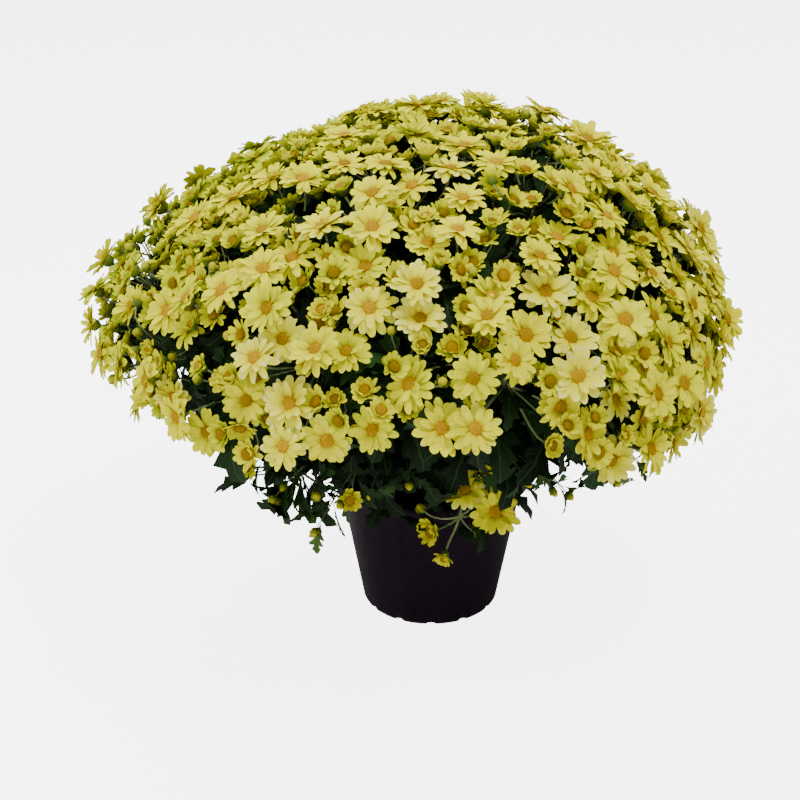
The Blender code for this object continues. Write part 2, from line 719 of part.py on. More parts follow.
class Branch:
    """A branch from a fork to a spray, with a leafy knot half way where it has leaves."""

    def __init__(self, spray, leaves):
        self.spray = spray
        self.leaves = leaves
        self.sway = Vector()

    def curve(self, start, away):
        """Points and directions of a cubic curve that leaves along away and ends along the spray's axis."""
        end = self.spray.seat() - self.spray.axis * GAP
        reach = (end - start).length * BRANCH_BEND_REACH
        bends = (start, start + away * reach + self.sway, end - self.spray.axis * reach + self.sway, end)
        path = []
        for step in range(1, BRANCH_SEGMENTS + 1):
            t = step / BRANCH_SEGMENTS
            weights = ((1 - t) ** 3, 3 * t * (1 - t) ** 2, 3 * t * t * (1 - t), t ** 3)
            slopes = (-(1 - t) ** 2, (1 - t) * (1 - 3 * t), t * (2 - 3 * t), t * t)
            place = sum((bend * weight for bend, weight in zip(bends, weights)), Vector())
            axis = sum((bend * slope for bend, slope in zip(bends, slopes)), Vector()).normalized()
            path.append((place, axis))
        return path


class Stem:
    """A leafy stem: it stands in its hole, forks at a knot and carries its sprays' branches."""

    def __init__(self, name, foot, fork, axis, branches, leaves):
        self.name = name
        self.foot = foot
        self.fork = fork
        self.axis = axis.normalized()
        self.branches = branches
        self.leaves = leaves

    def grow(self):
        """The stem's solid."""
        body = Body()
        knot = Knot(body, self.fork, self.axis, FORK_RADIUS, (self.name, "stem", 0))
        self.grow_root(body, knot)
        facets = knot.match([(branch.spray.seat() - self.fork).normalized() for branch in self.branches])
        for number, (branch, facet) in enumerate(zip(self.branches, facets)):
            self.grow_branch(body, knot.take(facet), knot.normals[facet], branch, number)
        self.grow_leaves(body, knot, self.leaves, "fork")
        knot.finish()
        return body

    def grow_root(self, body, knot):
        """The stalk from the fork down into its hole."""
        down = -UP
        ring = knot.take(0)
        above = self.foot + UP * (MIX_TOP + MIX_CROWN + STEM_COLLAR)
        bottom = self.foot + UP * (MIX_TOP - STEM_HOLE_DEPTH + GAP)
        path = [(above, down, STEM_RADIUS), (bottom, down, STEM_RADIUS)]
        ring = grow_tube(body, ring, -self.axis, path, (self.name, "stem", 0))
        body.face(ring, (self.name, "stem", 0))

    def grow_branch(self, body, ring, normal, branch, number):
        """One branch, through its leafy knot where it has one."""
        owner = (self.name, "branch", number)
        start = sum((body.points[i] for i in ring), Vector()) / 3
        path = branch.curve(start, normal)
        if branch.leaves:
            place, axis = path[1]
            ring = grow_tube(body, ring, normal, [(*path[0], BRANCH_RADIUS)], owner)
            knot = Knot(body, place, axis, LEAF_KNOT_RADIUS, owner)
            join_facet(body, ring, knot.take(0), owner)
            top = knot.match([axis])[0]
            ring = knot.take(top)
            normal = knot.normals[top]
            self.grow_leaves(body, knot, branch.leaves, f"branch {number}")
            knot.finish()
            path = path[2:]
        ring = grow_tube(body, ring, normal, [(*step, BRANCH_RADIUS) for step in path], owner)
        body.face(ring, owner)

    def grow_leaves(self, body, knot, leaves, where):
        """Leaves from a knot's free facets, each from the facet nearest to the way it leans."""
        standing = [leaf for leaf in leaves if leaf.size > LEAF_LEAST_SIZE]
        if not standing:
            return
        facets = knot.match([leaf.lean.normalized() for leaf in standing])
        for leaf, facet in zip(standing, facets):
            owner = (self.name, "leaf " + where, leaves.index(leaf))
            grow_leaf(body, knot.take(facet), knot.normals[facet], leaf, owner)


def leaf_ring(random, outward, count, droop, spread):
    """Leaves that lean outward from a stem, fanned to both sides of the outward direction."""
    leaves = []
    for number in range(count):
        turn = (number - (count - 1) / 2) * spread + random.normal(0.0, LEAF_TURN_SCATTER)
        lean = Matrix.Rotation(turn, 3, "Z") @ outward
        lean.z = -droop + random.normal(0.0, LEAF_DROOP_SCATTER)
        leaves.append(Leaf(lean, random.uniform(*LEAF_SIZES)))
    return leaves


def dome_stems(random, sprays):
    """Shares the sprays out among the stems: the top ones to the middle stem, the rest by azimuth."""
    feet = stem_feet()
    shares = [[] for _ in feet]
    for spray in sprays:
        flat = Vector((spray.hub.x, spray.hub.y, 0.0))
        azimuth = math.atan2(spray.hub.x, -spray.hub.y) % math.tau
        if flat.length < CENTRE_SHARE_RADIUS and spray.hub.z > CENTRE_FORK_HEIGHT:
            shares[-1].append(spray)
        else:
            shares[int(azimuth / math.tau * STEM_COUNT)].append(spray)
    stems = []
    for number, (foot, share) in enumerate(zip(feet, shares)):
        centre = number == STEM_COUNT
        outward = UP if centre else foot.normalized()
        fork = UP * CENTRE_FORK_HEIGHT if centre else outward * FORK_CIRCLE_RADIUS + UP * FORK_HEIGHT
        branches = []
        for spray in share:
            away = Vector((spray.hub.x, spray.hub.y, 0.0)).normalized()
            low = spray.hub.z < LEAFY_BRANCH_HEIGHT
            branches.append(Branch(spray, leaf_ring(random, away, *BRANCH_LEAVES) if low else []))
        flat = Vector((0.0, -1.0, 0.0)) if centre else outward
        leaves = leaf_ring(random, flat, *(CENTRE_LEAVES if centre else FORK_LEAVES))
        stems.append(Stem(f"stem_{number + 1}", foot, fork, outward * FORK_LEAN + UP, branches, leaves))
    return stems


# Clearing

def crossings(bodies):
    """Pairs of owners whose triangles cross, over all the bodies."""
    points = []
    faces = []
    owners = []
    for body in bodies:
        start = len(points)
        points += body.points
        faces += [[corner + start for corner in face] for face in body.faces]
        owners += body.owners
    tree = BVHTree.FromPolygons(points, faces)
    pairs = set()
    for a, b in tree.overlap(tree):
        if a < b and not set(faces[a]) & set(faces[b]):
            pairs.add((owners[a], owners[b]))
    return sorted(pairs, key=str)


def part_of(owner, named):
    """What an owner's name stands for: a head, a leaf, a branch, or a knot or stem, which stays put."""
    thing = named[owner[0]]
    if owner[1] == "head":
        return thing.heads[owner[2]]
    if owner[1] == "branch":
        return thing.branches[owner[2]]
    if owner[1] == "leaf fork":
        return thing.leaves[owner[2]]
    if owner[1].startswith("leaf branch"):
        return thing.branches[int(owner[1].split()[-1])].leaves[owner[2]]
    return None


def bend_clear(one, other):
    """Moves or shrinks two parts that cross: leaves give way first, then heads, then branches."""
    pair = [one, other]
    if one is other and isinstance(one, Head):
        one.radius *= SELF_CROSSING_SHRINK
        outward = (one.place - DOME_CENTRE).normalized()
        one.facing = (one.facing + outward * SELF_CROSSING_TURN).normalized()
        return
    leaves = [part for part in pair if isinstance(part, Leaf)]
    heads = [part for part in pair if isinstance(part, Head)]
    branches = [part for part in pair if isinstance(part, Branch)]
    if leaves:
        for leaf in leaves:
            leaf.size *= LEAF_SHRINK
            leaf.lean.z += LEAF_RISE
        return
    for head in heads:
        head.radius *= HEAD_SHRINK if head.kind != "bud" else 1.0
    if len(heads) == 2:
        away = heads[0].place - heads[1].place
        away = (away - heads[0].facing * away.dot(heads[0].facing)).normalized() * HEAD_STEP
        heads[0].place += away
        heads[1].place -= away
    elif len(branches) == 2:
        away = (branches[0].spray.hub - branches[1].spray.hub).normalized() * BRANCH_STEP
        branches[0].sway += away
        branches[1].sway -= away
    elif branches:
        branches[0].sway -= branches[0].spray.axis * BRANCH_SINK


def clear(things):
    """Grows all bodies, and bends what crosses clear, until nothing does."""
    named = {thing.name: thing for thing in things}
    bodies = {thing.name: thing.grow() for thing in things}
    for _ in range(CLEARING_ROUNDS):
        pairs = crossings(list(bodies.values()))
        if not pairs:
            break
        for one, other in pairs:
            bend_clear(part_of(one, named), part_of(other, named))
        for name in {owner[0] for pair in pairs for owner in pair}:
            bodies[name] = named[name].grow()
    return bodies


def build_all():
    """Builds the whole object: the pot, the mix in it, and the plant that stands in the mix."""
    clear_scene()
    parts = new_collection("pot_chrysanthemum")
    cutters = new_collection("cutters")
    build_pot(parts, cutters)
    build_mix(parts, cutters)
    random = np.random.default_rng(SEED)
    sprays = dome_sprays(random, dome_heads(random)) + low_sprays()
    stems = dome_stems(random, sprays)
    bodies = clear(sprays + stems)
    yellow = principled("petals", (0.85, 0.72, 0.05), 0.6)
    green = principled("stems and leaves", (0.03, 0.09, 0.02), 0.6)
    for things, material in ((sprays, yellow), (stems, green)):
        for thing in things:
            body = bodies[thing.name]
            new_object(thing.name, body.points, body.faces, parts, material)


build_all()
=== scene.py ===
# Pot chrysanthemum in full flower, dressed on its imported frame.
# Metres, +Z up, the front faces -Y, and the origin is the middle of the pot's flat base.

import math

import bpy
import numpy as np
from mathutils import Matrix


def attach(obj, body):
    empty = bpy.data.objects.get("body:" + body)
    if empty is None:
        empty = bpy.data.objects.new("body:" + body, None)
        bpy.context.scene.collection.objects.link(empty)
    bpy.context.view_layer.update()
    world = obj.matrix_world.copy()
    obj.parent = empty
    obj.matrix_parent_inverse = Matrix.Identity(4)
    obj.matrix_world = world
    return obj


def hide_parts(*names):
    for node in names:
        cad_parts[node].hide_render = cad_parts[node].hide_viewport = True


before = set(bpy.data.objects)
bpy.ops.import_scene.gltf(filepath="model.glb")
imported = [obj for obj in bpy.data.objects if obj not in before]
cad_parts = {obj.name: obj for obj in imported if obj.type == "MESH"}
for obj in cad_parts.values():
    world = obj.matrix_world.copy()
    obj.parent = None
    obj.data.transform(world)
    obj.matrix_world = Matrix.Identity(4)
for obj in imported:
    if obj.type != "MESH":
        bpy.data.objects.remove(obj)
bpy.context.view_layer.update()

MM = 0.001
UP = np.array([0.0, 0.0, 1.0])
# The rim of a thin blade turns by more than this, and shades as an edge
THIN_EDGE = math.radians(100)


# Nursery pot
# One moulded shell of dark aubergine polypropylene: a straight taper, a flared collar and a rolled lip.
# Its foot has shallow drainage notches, and its floor four holes.

POT_HEIGHT = 150 * MM
POT_RIM_RADIUS = 104 * MM
POT_BASE_RADIUS = 70 * MM
POT_COLLAR_HEIGHT = 112 * MM
POT_COLLAR_RADIUS = 91 * MM
POT_FLARE_POWER = 1.15
POT_WALL = 2.4 * MM
POT_FLOOR = 3.0 * MM
POT_SIDES = 144
# How far the middle of the underside stands off the ground
POT_HOLLOW = 0.8 * MM
# Underside and rounded foot: how far in from the base's radius, and height
POT_FOOT = np.array([(31.5, 0.6), (8.0, 0.0), (3.4, 0.4), (1.2, 2.2)]) * MM
POT_CORNER_HEIGHT = 6 * MM
# Heights of the rings of its walls, closest at the collar
POT_WALL_HEIGHTS = np.array([12, 24, 40, 56, 72, 88, 102, 109, 113, 117, 124, 132, 138]) * MM
# Rolled lip: how far out from the rim's radius, and how far down from the rim
POT_LIP = np.array([(-3.0, 9.6), (0.2, 9.1), (1.0, 8.0), (1.2, 4.5), (0.9, 1.4), (0.0, 0.2), (-1.1, 0.0),
                    (-2.2, 0.7), (-2.8, 4.0)]) * MM
# Inner corner: how far in from the base's radius, and height over the floor
POT_INNER_CORNER = np.array([(5.0, 1.5), (9.0, 0.0)]) * MM
FOOT_NOTCHES = 12
FOOT_NOTCH_DEPTH = 3.5 * MM
FOOT_NOTCH_HEIGHT = 9 * MM
# Where the cosine wave round the foot starts a notch, and how much further up the wave it has its full depth
FOOT_NOTCH_START = 0.72
FOOT_NOTCH_RAMP = 0.18
DRAIN_COUNT = 4
DRAIN_RADIUS = 6 * MM
DRAIN_SIDES = 32
DRAIN_CIRCLE_RADIUS = 46 * MM
POT_DUST = 0.16
# Tone of shapes whose material reads none
PLAIN_TONE = 0.5
# How much finer the fine noise of a mottle is, and the range of its noise that its mask spreads out
MOTTLE_FINER = 9.0
MOTTLE_RANGE = (0.3, 0.7)


def unit(vectors):
    """Vectors divided by their own lengths, along the last axis."""
    return vectors / np.linalg.norm(vectors, axis=-1, keepdims=True)


def closed(rings, start, end, along, across, tone):
    """Many closed shapes of one kind. Rings is (shape, ring, side, xyz), counter-clockwise about the way from
    the first ring to the last. Each side of a ring joins the same side of the next with a quad, and the end
    rings close to the points start and end with triangles. Each point also gets (along, across, tone)."""
    count, stations, sides, _ = rings.shape
    size = stations * sides + 2
    points = np.concatenate([rings.reshape(count, -1, 3), start[:, None], end[:, None]], axis=1)
    side = np.arange(sides)
    after = (side + 1) % sides
    ring = np.arange(stations - 1)[:, None] * sides
    quads = np.stack([ring + side, ring + after, ring + sides + after, ring + sides + side], -1)
    last = (stations - 1) * sides
    caps = np.concatenate([np.stack([np.full(sides, size - 2), after, side], -1),
                           np.stack([np.full(sides, size - 1), last + side, last + after], -1)])
    place = np.zeros((count, size, 3))
    place[:, :-2, 0] = np.repeat(along, sides)
    place[:, :-2, 1] = np.tile(across, stations)
    place[:, -1, 0] = 1.0
    place[:, :, 2] = np.asarray(tone)[:, None]
    offset = (np.arange(count) * size)[:, None, None]
    return (points.reshape(-1, 3), (quads.reshape(1, -1, 4) + offset).reshape(-1, 4),
            (caps[None] + offset).reshape(-1, 3), place.reshape(-1, 3))


def new_piece(name, parts, nodes):
    """One mesh from (shapes, material) pairs. It rides on the root body and stands for its CAD nodes."""
    counts = np.cumsum([0] + [len(shapes[0]) for shapes, _ in parts])
    points = np.concatenate([shapes[0] for shapes, _ in parts])
    places = np.concatenate([shapes[3] for shapes, _ in parts])
    quads = np.concatenate([shapes[1] + start for (shapes, _), start in zip(parts, counts)])
    triangles = np.concatenate([shapes[2] + start for (shapes, _), start in zip(parts, counts)])
    mesh = bpy.data.meshes.new(name)
    mesh.vertices.add(len(points))
    mesh.vertices.foreach_set("co", points.astype(np.float32).ravel())
    corners = np.concatenate([quads.ravel(), triangles.ravel()]).astype(np.int32)
    mesh.loops.add(len(corners))
    mesh.loops.foreach_set("vertex_index", corners)
    starts = np.concatenate([np.arange(len(quads)) * 4, len(quads) * 4 + np.arange(len(triangles)) * 3])
    mesh.polygons.add(len(starts))
    mesh.polygons.foreach_set("loop_start", starts.astype(np.int32))
    wears = np.concatenate([np.repeat(np.arange(len(parts)), [len(shapes[1]) for shapes, _ in parts]),
                            np.repeat(np.arange(len(parts)), [len(shapes[2]) for shapes, _ in parts])])
    mesh.polygons.foreach_set("material_index", wears.astype(np.int32))
    mesh.polygons.foreach_set("use_smooth", np.ones(len(starts), dtype=bool))
    mesh.update(calc_edges=True)
    grown = mesh.attributes.new("grown", "FLOAT_VECTOR", "POINT")
    grown.data.foreach_set("vector", places.astype(np.float32).ravel())
    for _, material in parts:
        mesh.materials.append(material)
    mesh.set_sharp_from_angle(angle=THIN_EDGE)
    piece = bpy.data.objects.new(name, mesh)
    bpy.context.scene.collection.objects.link(piece)
    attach(piece, "root")
    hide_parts(*nodes)
    return piece


def feed(tree, fed, inputs):
    """Gives each named input of a node its value, or links it to the socket that feeds it."""
    for name, value in inputs.items():
        if isinstance(value, bpy.types.NodeSocket):
            tree.links.new(value, fed.inputs[name])
        else:
            fed.inputs[name].default_value = value


def node(tree, kind, inputs=None, **settings):
    """A shader node with its settings and its inputs."""
    made = tree.nodes.new(kind)
    for name, value in settings.items():
        setattr(made, name, value)
    feed(tree, made, inputs or {})
    return made


def arithmetic(tree, operation, *values):
    """What a math node makes of its values or sockets."""
    return node(tree, "ShaderNodeMath", dict(enumerate(values)), operation=operation).outputs[0]


def rescaled(tree, value, low, high, first=0.0, last=1.0):
    """Goes from first to last while a value goes from low to high, and stays between them."""
    return node(tree, "ShaderNodeMapRange", {"Value": value, "From Min": low, "From Max": high,
                                             "To Min": first, "To Max": last}).outputs[0]


def noise(tree, place, scale, detail):
    """Smooth noise over a place."""
    made = node(tree, "ShaderNodeTexNoise", {"Vector": place, "Scale": scale, "Detail": detail})
    return made.outputs["Fac"]


def bump(tree, height, strength, distance, over=None, invert=False):
    """The surface's normal bumped by a height, over another bumped normal where one is given."""
    made = node(tree, "ShaderNodeBump", {"Height": height, "Strength": strength, "Distance": distance},
                invert=invert)
    if over is not None:
        tree.links.new(over, made.inputs["Normal"])
    return made.outputs[0]


def ramp(tree, factor, stops):
    """A colour ramp through (place, colour) stops."""
    made = node(tree, "ShaderNodeValToRGB", {"Fac": factor})
    band = made.color_ramp
    while len(band.elements) < len(stops):
        band.elements.new(0.5)
    for element, (place, colour) in zip(band.elements, stops):
        element.position = place
        element.color = (*colour, 1.0)
    return made.outputs["Color"]


def mix(tree, factor, one, other):
    """A colour mixed from two by a factor."""
    inputs = {0: factor}
    for number, colour in ((6, one), (7, other)):
        inputs[number] = colour if isinstance(colour, bpy.types.NodeSocket) else (*colour, 1.0)
    return node(tree, "ShaderNodeMix", inputs, data_type="RGBA").outputs[2]


def new_group(name, inputs):
    """A node group with these inputs, each a number or a vector, that puts out a mask."""
    group = bpy.data.node_groups.new(name, "ShaderNodeTree")
    for title, value in inputs.items():
        kind = "NodeSocketFloat" if isinstance(value, float) else "NodeSocketVector"
        group.interface.new_socket(title, in_out="INPUT", socket_type=kind).default_value = value
    group.interface.new_socket("Mask", in_out="OUTPUT", socket_type="NodeSocketFloat")
    return group


def mottle_group():
    """Soft cloudy variation on Object coordinates: broad and fine noise, mixed by the input Fine, and spread
    out between the inputs Low and High."""
    group = new_group("mottle", {"Scale": 20.0, "Fine": 0.5, "Low": 0.0, "High": 1.0})
    given = node(group, "NodeGroupInput").outputs
    place = node(group, "ShaderNodeTexCoord").outputs["Object"]
    broad = noise(group, place, given["Scale"], detail=3.0)
    fine = noise(group, place, arithmetic(group, "MULTIPLY", given["Scale"], MOTTLE_FINER), detail=2.0)
    blend = node(group, "ShaderNodeMix", {0: given["Fine"], 2: broad, 3: fine}).outputs[0]
    mask = rescaled(group, blend, *MOTTLE_RANGE, given["Low"], given["High"])
    node(group, "NodeGroupOutput", {"Mask": mask})
    return group


MOTTLE = mottle_group()


def mottle(tree, scale, fine, low=0.0, high=1.0):
    """The mask of one mottle node with its own values."""
    own = {"Scale": scale, "Fine": fine, "Low": low, "High": high}
    return node(tree, "ShaderNodeGroup", own, node_tree=MOTTLE).outputs["Mask"]


def new_material(name):
    """A material and its node tree."""
    material = bpy.data.materials.new(name)
    material.use_nodes = True
    return material, material.node_tree


def dressed(material, colour, normal, roughness, gloss):
    """The material, once its shader has its colour, normal, roughness and share of reflection."""
    tree = material.node_tree
    feed(tree, tree.nodes["Principled BSDF"], {"Base Color": colour, "Normal": normal,
                                               "Roughness": roughness, "Specular IOR Level": gloss})
    return material


def pot_plastic():
    """Dark aubergine plastic with an orange-peel skin, faint vertical flow lines and a little dust."""
    material, tree = new_material("pot_plastic")
    place = node(tree, "ShaderNodeTexCoord").outputs["Object"]
    stretched = node(tree, "ShaderNodeMapping", {"Vector": place, "Scale": (60.0, 60.0, 3.0)}).outputs[0]
    flow = noise(tree, stretched, scale=1.0, detail=3.0)
    plain = mix(tree, flow, (0.004, 0.001, 0.005), (0.013, 0.004, 0.015))
    dust = arithmetic(tree, "MULTIPLY", mottle(tree, scale=14.0, fine=0.45), POT_DUST)
    peel = bump(tree, noise(tree, place, scale=1100.0, detail=1.0), strength=0.15, distance=0.4 * MM)
    lines = bump(tree, flow, strength=0.25, distance=0.8 * MM, over=peel)
    return dressed(material, mix(tree, dust, plain, (0.045, 0.026, 0.035)), lines,
                   roughness=mottle(tree, scale=30.0, fine=0.5, low=0.36, high=0.56), gloss=0.08)


def pot_outside(height):
    """Outer radius of the pot at a height: a straight taper to the collar, then a flare to the rim."""
    if height <= POT_COLLAR_HEIGHT:
        return POT_BASE_RADIUS + (POT_COLLAR_RADIUS - POT_BASE_RADIUS) * height / POT_COLLAR_HEIGHT
    share = (height - POT_COLLAR_HEIGHT) / (POT_HEIGHT - POT_COLLAR_HEIGHT)
    return POT_COLLAR_RADIUS + (POT_RIM_RADIUS - POT_COLLAR_RADIUS) * share ** POT_FLARE_POWER


def turned(profile, sides, lumps):
    """A profile of (radius, height) from the axis back to the axis, turned about Z. Its first and last points
    close the shape, and lumps gives a radius change for each ring and side."""
    profile = np.array(profile)
    angle = math.tau * np.arange(sides) / sides
    height = profile[1:-1, 1][:, None] + np.zeros(sides)
    radius = profile[1:-1, 0][:, None] + lumps(height, angle)
    rings = np.stack([radius * np.cos(angle), radius * np.sin(angle), height], -1)[None]
    ends = np.array([[0.0, 0.0, profile[0, 1]], [0.0, 0.0, profile[-1, 1]]])
    share = np.linspace(0.0, 1.0, len(profile) - 2)
    return closed(rings, ends[:1], ends[1:], share, angle / math.pi - 1.0, [PLAIN_TONE])


def foot_notches(height, angle):
    """Shallow notches round the foot, deepest at the floor and gone at their own height."""
    window = np.clip((np.cos(angle * FOOT_NOTCHES) - FOOT_NOTCH_START) / FOOT_NOTCH_RAMP, 0.0, 1.0)
    fade = np.clip(1.0 - height / FOOT_NOTCH_HEIGHT, 0.0, 1.0)
    return -FOOT_NOTCH_DEPTH * window * np.sqrt(fade)


def drained(piece):
    """Cuts the drainage holes through the pot's floor and keeps the result as the piece's mesh."""
    for number in range(DRAIN_COUNT):
        angle = math.tau * (number + 0.5) / DRAIN_COUNT
        spot = (DRAIN_CIRCLE_RADIUS * math.cos(angle), DRAIN_CIRCLE_RADIUS * math.sin(angle), POT_FLOOR / 2)
        bpy.ops.mesh.primitive_cylinder_add(vertices=DRAIN_SIDES, radius=DRAIN_RADIUS, depth=4 * POT_FLOOR,
                                            location=spot)
        drill = bpy.context.object
        hole = piece.modifiers.new("drain", "BOOLEAN")
        hole.operation = "DIFFERENCE"
        hole.object = drill
        cut = bpy.data.meshes.new_from_object(piece.evaluated_get(bpy.context.evaluated_depsgraph_get()))
        piece.modifiers.clear()
        piece.data = cut
        bpy.data.objects.remove(drill)


pot_profile = [(0.0, POT_HOLLOW)]
pot_profile += [(POT_BASE_RADIUS - inset, height) for inset, height in POT_FOOT]
pot_profile += [(pot_outside(height), height) for height in (POT_CORNER_HEIGHT, *POT_WALL_HEIGHTS)]
pot_profile += [(POT_RIM_RADIUS + out, POT_HEIGHT - down) for out, down in POT_LIP]
pot_profile += [(pot_outside(height) - POT_WALL, height) for height in POT_WALL_HEIGHTS[::-1]]
pot_profile += [(POT_BASE_RADIUS - inset, POT_FLOOR + rise) for inset, rise in POT_INNER_CORNER]
pot_profile += [(0.0, POT_FLOOR)]
pot = new_piece("pot_shell", [(turned(pot_profile, POT_SIDES, foot_notches), pot_plastic())],
                ["pot"])
drained(pot)


# Potting mix
# Moist peat and bark that fills the pot to its collar, with loose crumbs and a little white perlite on top.
# It lies in the pot, and the stems stand in it.

MIX_TOP = 128 * MM
MIX_CROWN = 4 * MM
# How far the clods lie below the crown on average
MIX_SINK = 1.5 * MM
MIX_RINGS = 22
MIX_SIDES = 96
MIX_FLOOR_GAP = 0.5 * MM
MIX_WALL_GAP = 0.6 * MM
# How far its lowest ring lies in from the pot's base, the height of the next, and the radius of its last
MIX_FOOT_INSET = 10 * MM
MIX_LOW_HEIGHT = 14 * MM
MIX_MIDDLE_RADIUS = 4 * MM
CLOD_SEED = 3
CLOD_WAVES = 14
CLOD_PITCHES = (7 * MM, 26 * MM)
# Heights of the clod waves at the pitch below, and in step with their pitch elsewhere
CLOD_LIFTS = (0.15 * MM, 0.5 * MM)
CLOD_LIFT_PITCH = 12 * MM
CRUMB_SEED = 5
CRUMB_COUNT = 520
CRUMB_SIDES = 5
CRUMB_EDGE_MARGIN = 4 * MM
CRUMB_RISE = 0.4 * MM
# Spread of the crumbs' axes in x, y and z: most lie rather flat
CRUMB_AXES = np.array([1.0, 1.0, 0.35])
# Their rings start square to this, slightly off the vertical, so that no axis is parallel to it
CRUMB_START = UP + 0.01
CRUMB_RADII = (0.8 * MM, 2.6 * MM)
CRUMB_UNEVENNESS = (0.6, 1.0)
# Length as a share of the radius, places of the two rings and of the ends from the middle, as shares of the
# length, and how far along a crumb its rings count as
CRUMB_LENGTHS = (0.8, 2.2)
CRUMB_RINGS = (-0.5, 0.5)
CRUMB_END = 0.85
CRUMB_ALONG = np.array([0.3, 0.7])


def grown(tree):
    """What each point of a piece carries: its place along and across its shape, and the shape's tone."""
    carried = node(tree, "ShaderNodeAttribute", attribute_name="grown")
    return node(tree, "ShaderNodeSeparateXYZ", {0: carried.outputs["Vector"]}).outputs


def peat():
    """Dark brown peat: clods by noise in colour and bump, matt all over."""
    material, tree = new_material("peat")
    soil = ramp(tree, mottle(tree, scale=120.0, fine=0.5),
                [(0.0, (0.006, 0.004, 0.003)), (0.55, (0.026, 0.017, 0.011)), (1.0, (0.070, 0.045, 0.028))])
    rough = bump(tree, mottle(tree, scale=700.0, fine=0.4), strength=0.8, distance=1.0 * MM)
    return dressed(material, soil, rough, roughness=0.95, gloss=0.2)


def crumb_colours():
    """Bark and perlite by the crumb's own tone: mostly brown, the palest white."""
    material, tree = new_material("bark_and_perlite")
    _, _, tone = grown(tree)
    band = ramp(tree, tone, [(0.0, (0.012, 0.008, 0.005)), (0.6, (0.06, 0.035, 0.018)),
                             (0.86, (0.13, 0.085, 0.05)), (0.90, (0.62, 0.60, 0.55))])
    worn = mix(tree, mottle(tree, scale=500.0, fine=0.5, high=0.6), band, (0.02, 0.013, 0.009))
    pits = bump(tree, mottle(tree, scale=900.0, fine=0.5), strength=0.7, distance=0.5 * MM)
    return dressed(material, worn, pits, roughness=0.9, gloss=0.2)


def mix_height(x, y):
    """Height of the mix: a low crown, with clods as a sum of waves in all directions."""
    reach = np.hypot(x, y) / POT_COLLAR_RADIUS
    clods = np.zeros_like(x)
    waves = np.random.default_rng(CLOD_SEED)
    for _ in range(CLOD_WAVES):
        bearing = waves.uniform(0.0, math.tau)
        pitch = waves.uniform(*CLOD_PITCHES)
        lift = waves.uniform(*CLOD_LIFTS) * pitch / CLOD_LIFT_PITCH
        clods += lift * np.sin((x * math.cos(bearing) + y * math.sin(bearing)) * math.tau / pitch
                               + waves.uniform(0.0, math.tau))
    return MIX_TOP + MIX_CROWN * (1.0 - np.clip(reach, 0.0, 1.0) ** 2) - MIX_SINK + clods


def mix_body():
    """The filled pot's content: floor, side, then rings inward over the clods of the top."""
    angle = math.tau * np.arange(MIX_SIDES) / MIX_SIDES
    low = [(POT_BASE_RADIUS - MIX_FOOT_INSET, POT_FLOOR + MIX_FLOOR_GAP)]
    low += [(pot_outside(z) - POT_WALL - MIX_WALL_GAP, z) for z in (MIX_LOW_HEIGHT, POT_COLLAR_HEIGHT)]
    side = np.array([[(r * math.cos(a), r * math.sin(a), z) for a in angle] for r, z in low])
    rim = pot_outside(MIX_TOP) - POT_WALL - MIX_WALL_GAP
    radius = np.linspace(rim, MIX_MIDDLE_RADIUS, MIX_RINGS)[:, None]
    x = radius * np.cos(angle)
    y = radius * np.sin(angle)
    rings = np.concatenate([side, np.stack([x, y, mix_height(x, y)], -1)])[None]
    start = UP[None] * (POT_FLOOR + MIX_FLOOR_GAP)
    end = UP[None] * (MIX_TOP + MIX_CROWN)
    return closed(rings, start, end, np.linspace(0, 1, len(rings[0])), angle, [PLAIN_TONE])


def crumbs(random):
    """Lumps of bark and perlite strewn on the mix: two uneven rings and a point at each end."""
    reach = (POT_COLLAR_RADIUS - CRUMB_EDGE_MARGIN) * np.sqrt(random.random(CRUMB_COUNT))
    bearing = random.uniform(0.0, math.tau, CRUMB_COUNT)
    x = reach * np.cos(bearing)
    y = reach * np.sin(bearing)
    middle = np.stack([x, y, mix_height(x, y) + CRUMB_RISE], -1)
    axis = unit(random.normal(0.0, 1.0, (CRUMB_COUNT, 3)) * CRUMB_AXES)
    first = unit(np.cross(axis, CRUMB_START))
    second = np.cross(axis, first)
    turn = math.tau * np.arange(CRUMB_SIDES) / CRUMB_SIDES
    around = first[:, None] * np.cos(turn)[:, None] + second[:, None] * np.sin(turn)[:, None]
    radius = random.uniform(*CRUMB_RADII, CRUMB_COUNT)
    length = radius * random.uniform(*CRUMB_LENGTHS, CRUMB_COUNT)
    rings = []
    for share in CRUMB_RINGS:
        wide = radius[:, None] * random.uniform(*CRUMB_UNEVENNESS, (CRUMB_COUNT, CRUMB_SIDES))
        centre = middle + axis * (length * share)[:, None]
        rings.append(centre[:, None] + around * wide[..., None])
    ends = axis * (length * CRUMB_END)[:, None]
    return closed(np.stack(rings, 1), middle - ends, middle + ends, CRUMB_ALONG, np.zeros(CRUMB_SIDES),
                  random.random(CRUMB_COUNT))


mix_parts = [(mix_body(), peat()), (crumbs(np.random.default_rng(CRUMB_SEED)), crumb_colours())]
new_piece("potting_mix_surface", mix_parts, ["potting_mix"])


# Where the heads and sprays stand
# The plant carries its heads on a wide dome with a lower edge, swellings and gaps, in sprays of up to
# thirteen whose stalks meet at one knot. It is the rule that the solids follow, with the same draws.

SEED = 41
DOME_CENTRE = np.array([-16 * MM, 0.0, 292 * MM])
DOME_HALF_WIDTH = 309 * MM
DOME_RISE = 232 * MM
DOME_DROP = 205 * MM
# Lower edge of the dome: (azimuth right of the front, angle from straight up), in degrees
DOME_EDGE = np.array(((-180, 104), (-120, 100), (-90, 90), (-62, 95), (-38, 98), (-24, 91), (-10, 84),
                      (16, 82), (30, 97), (60, 106), (88, 110), (120, 106), (180, 104)))
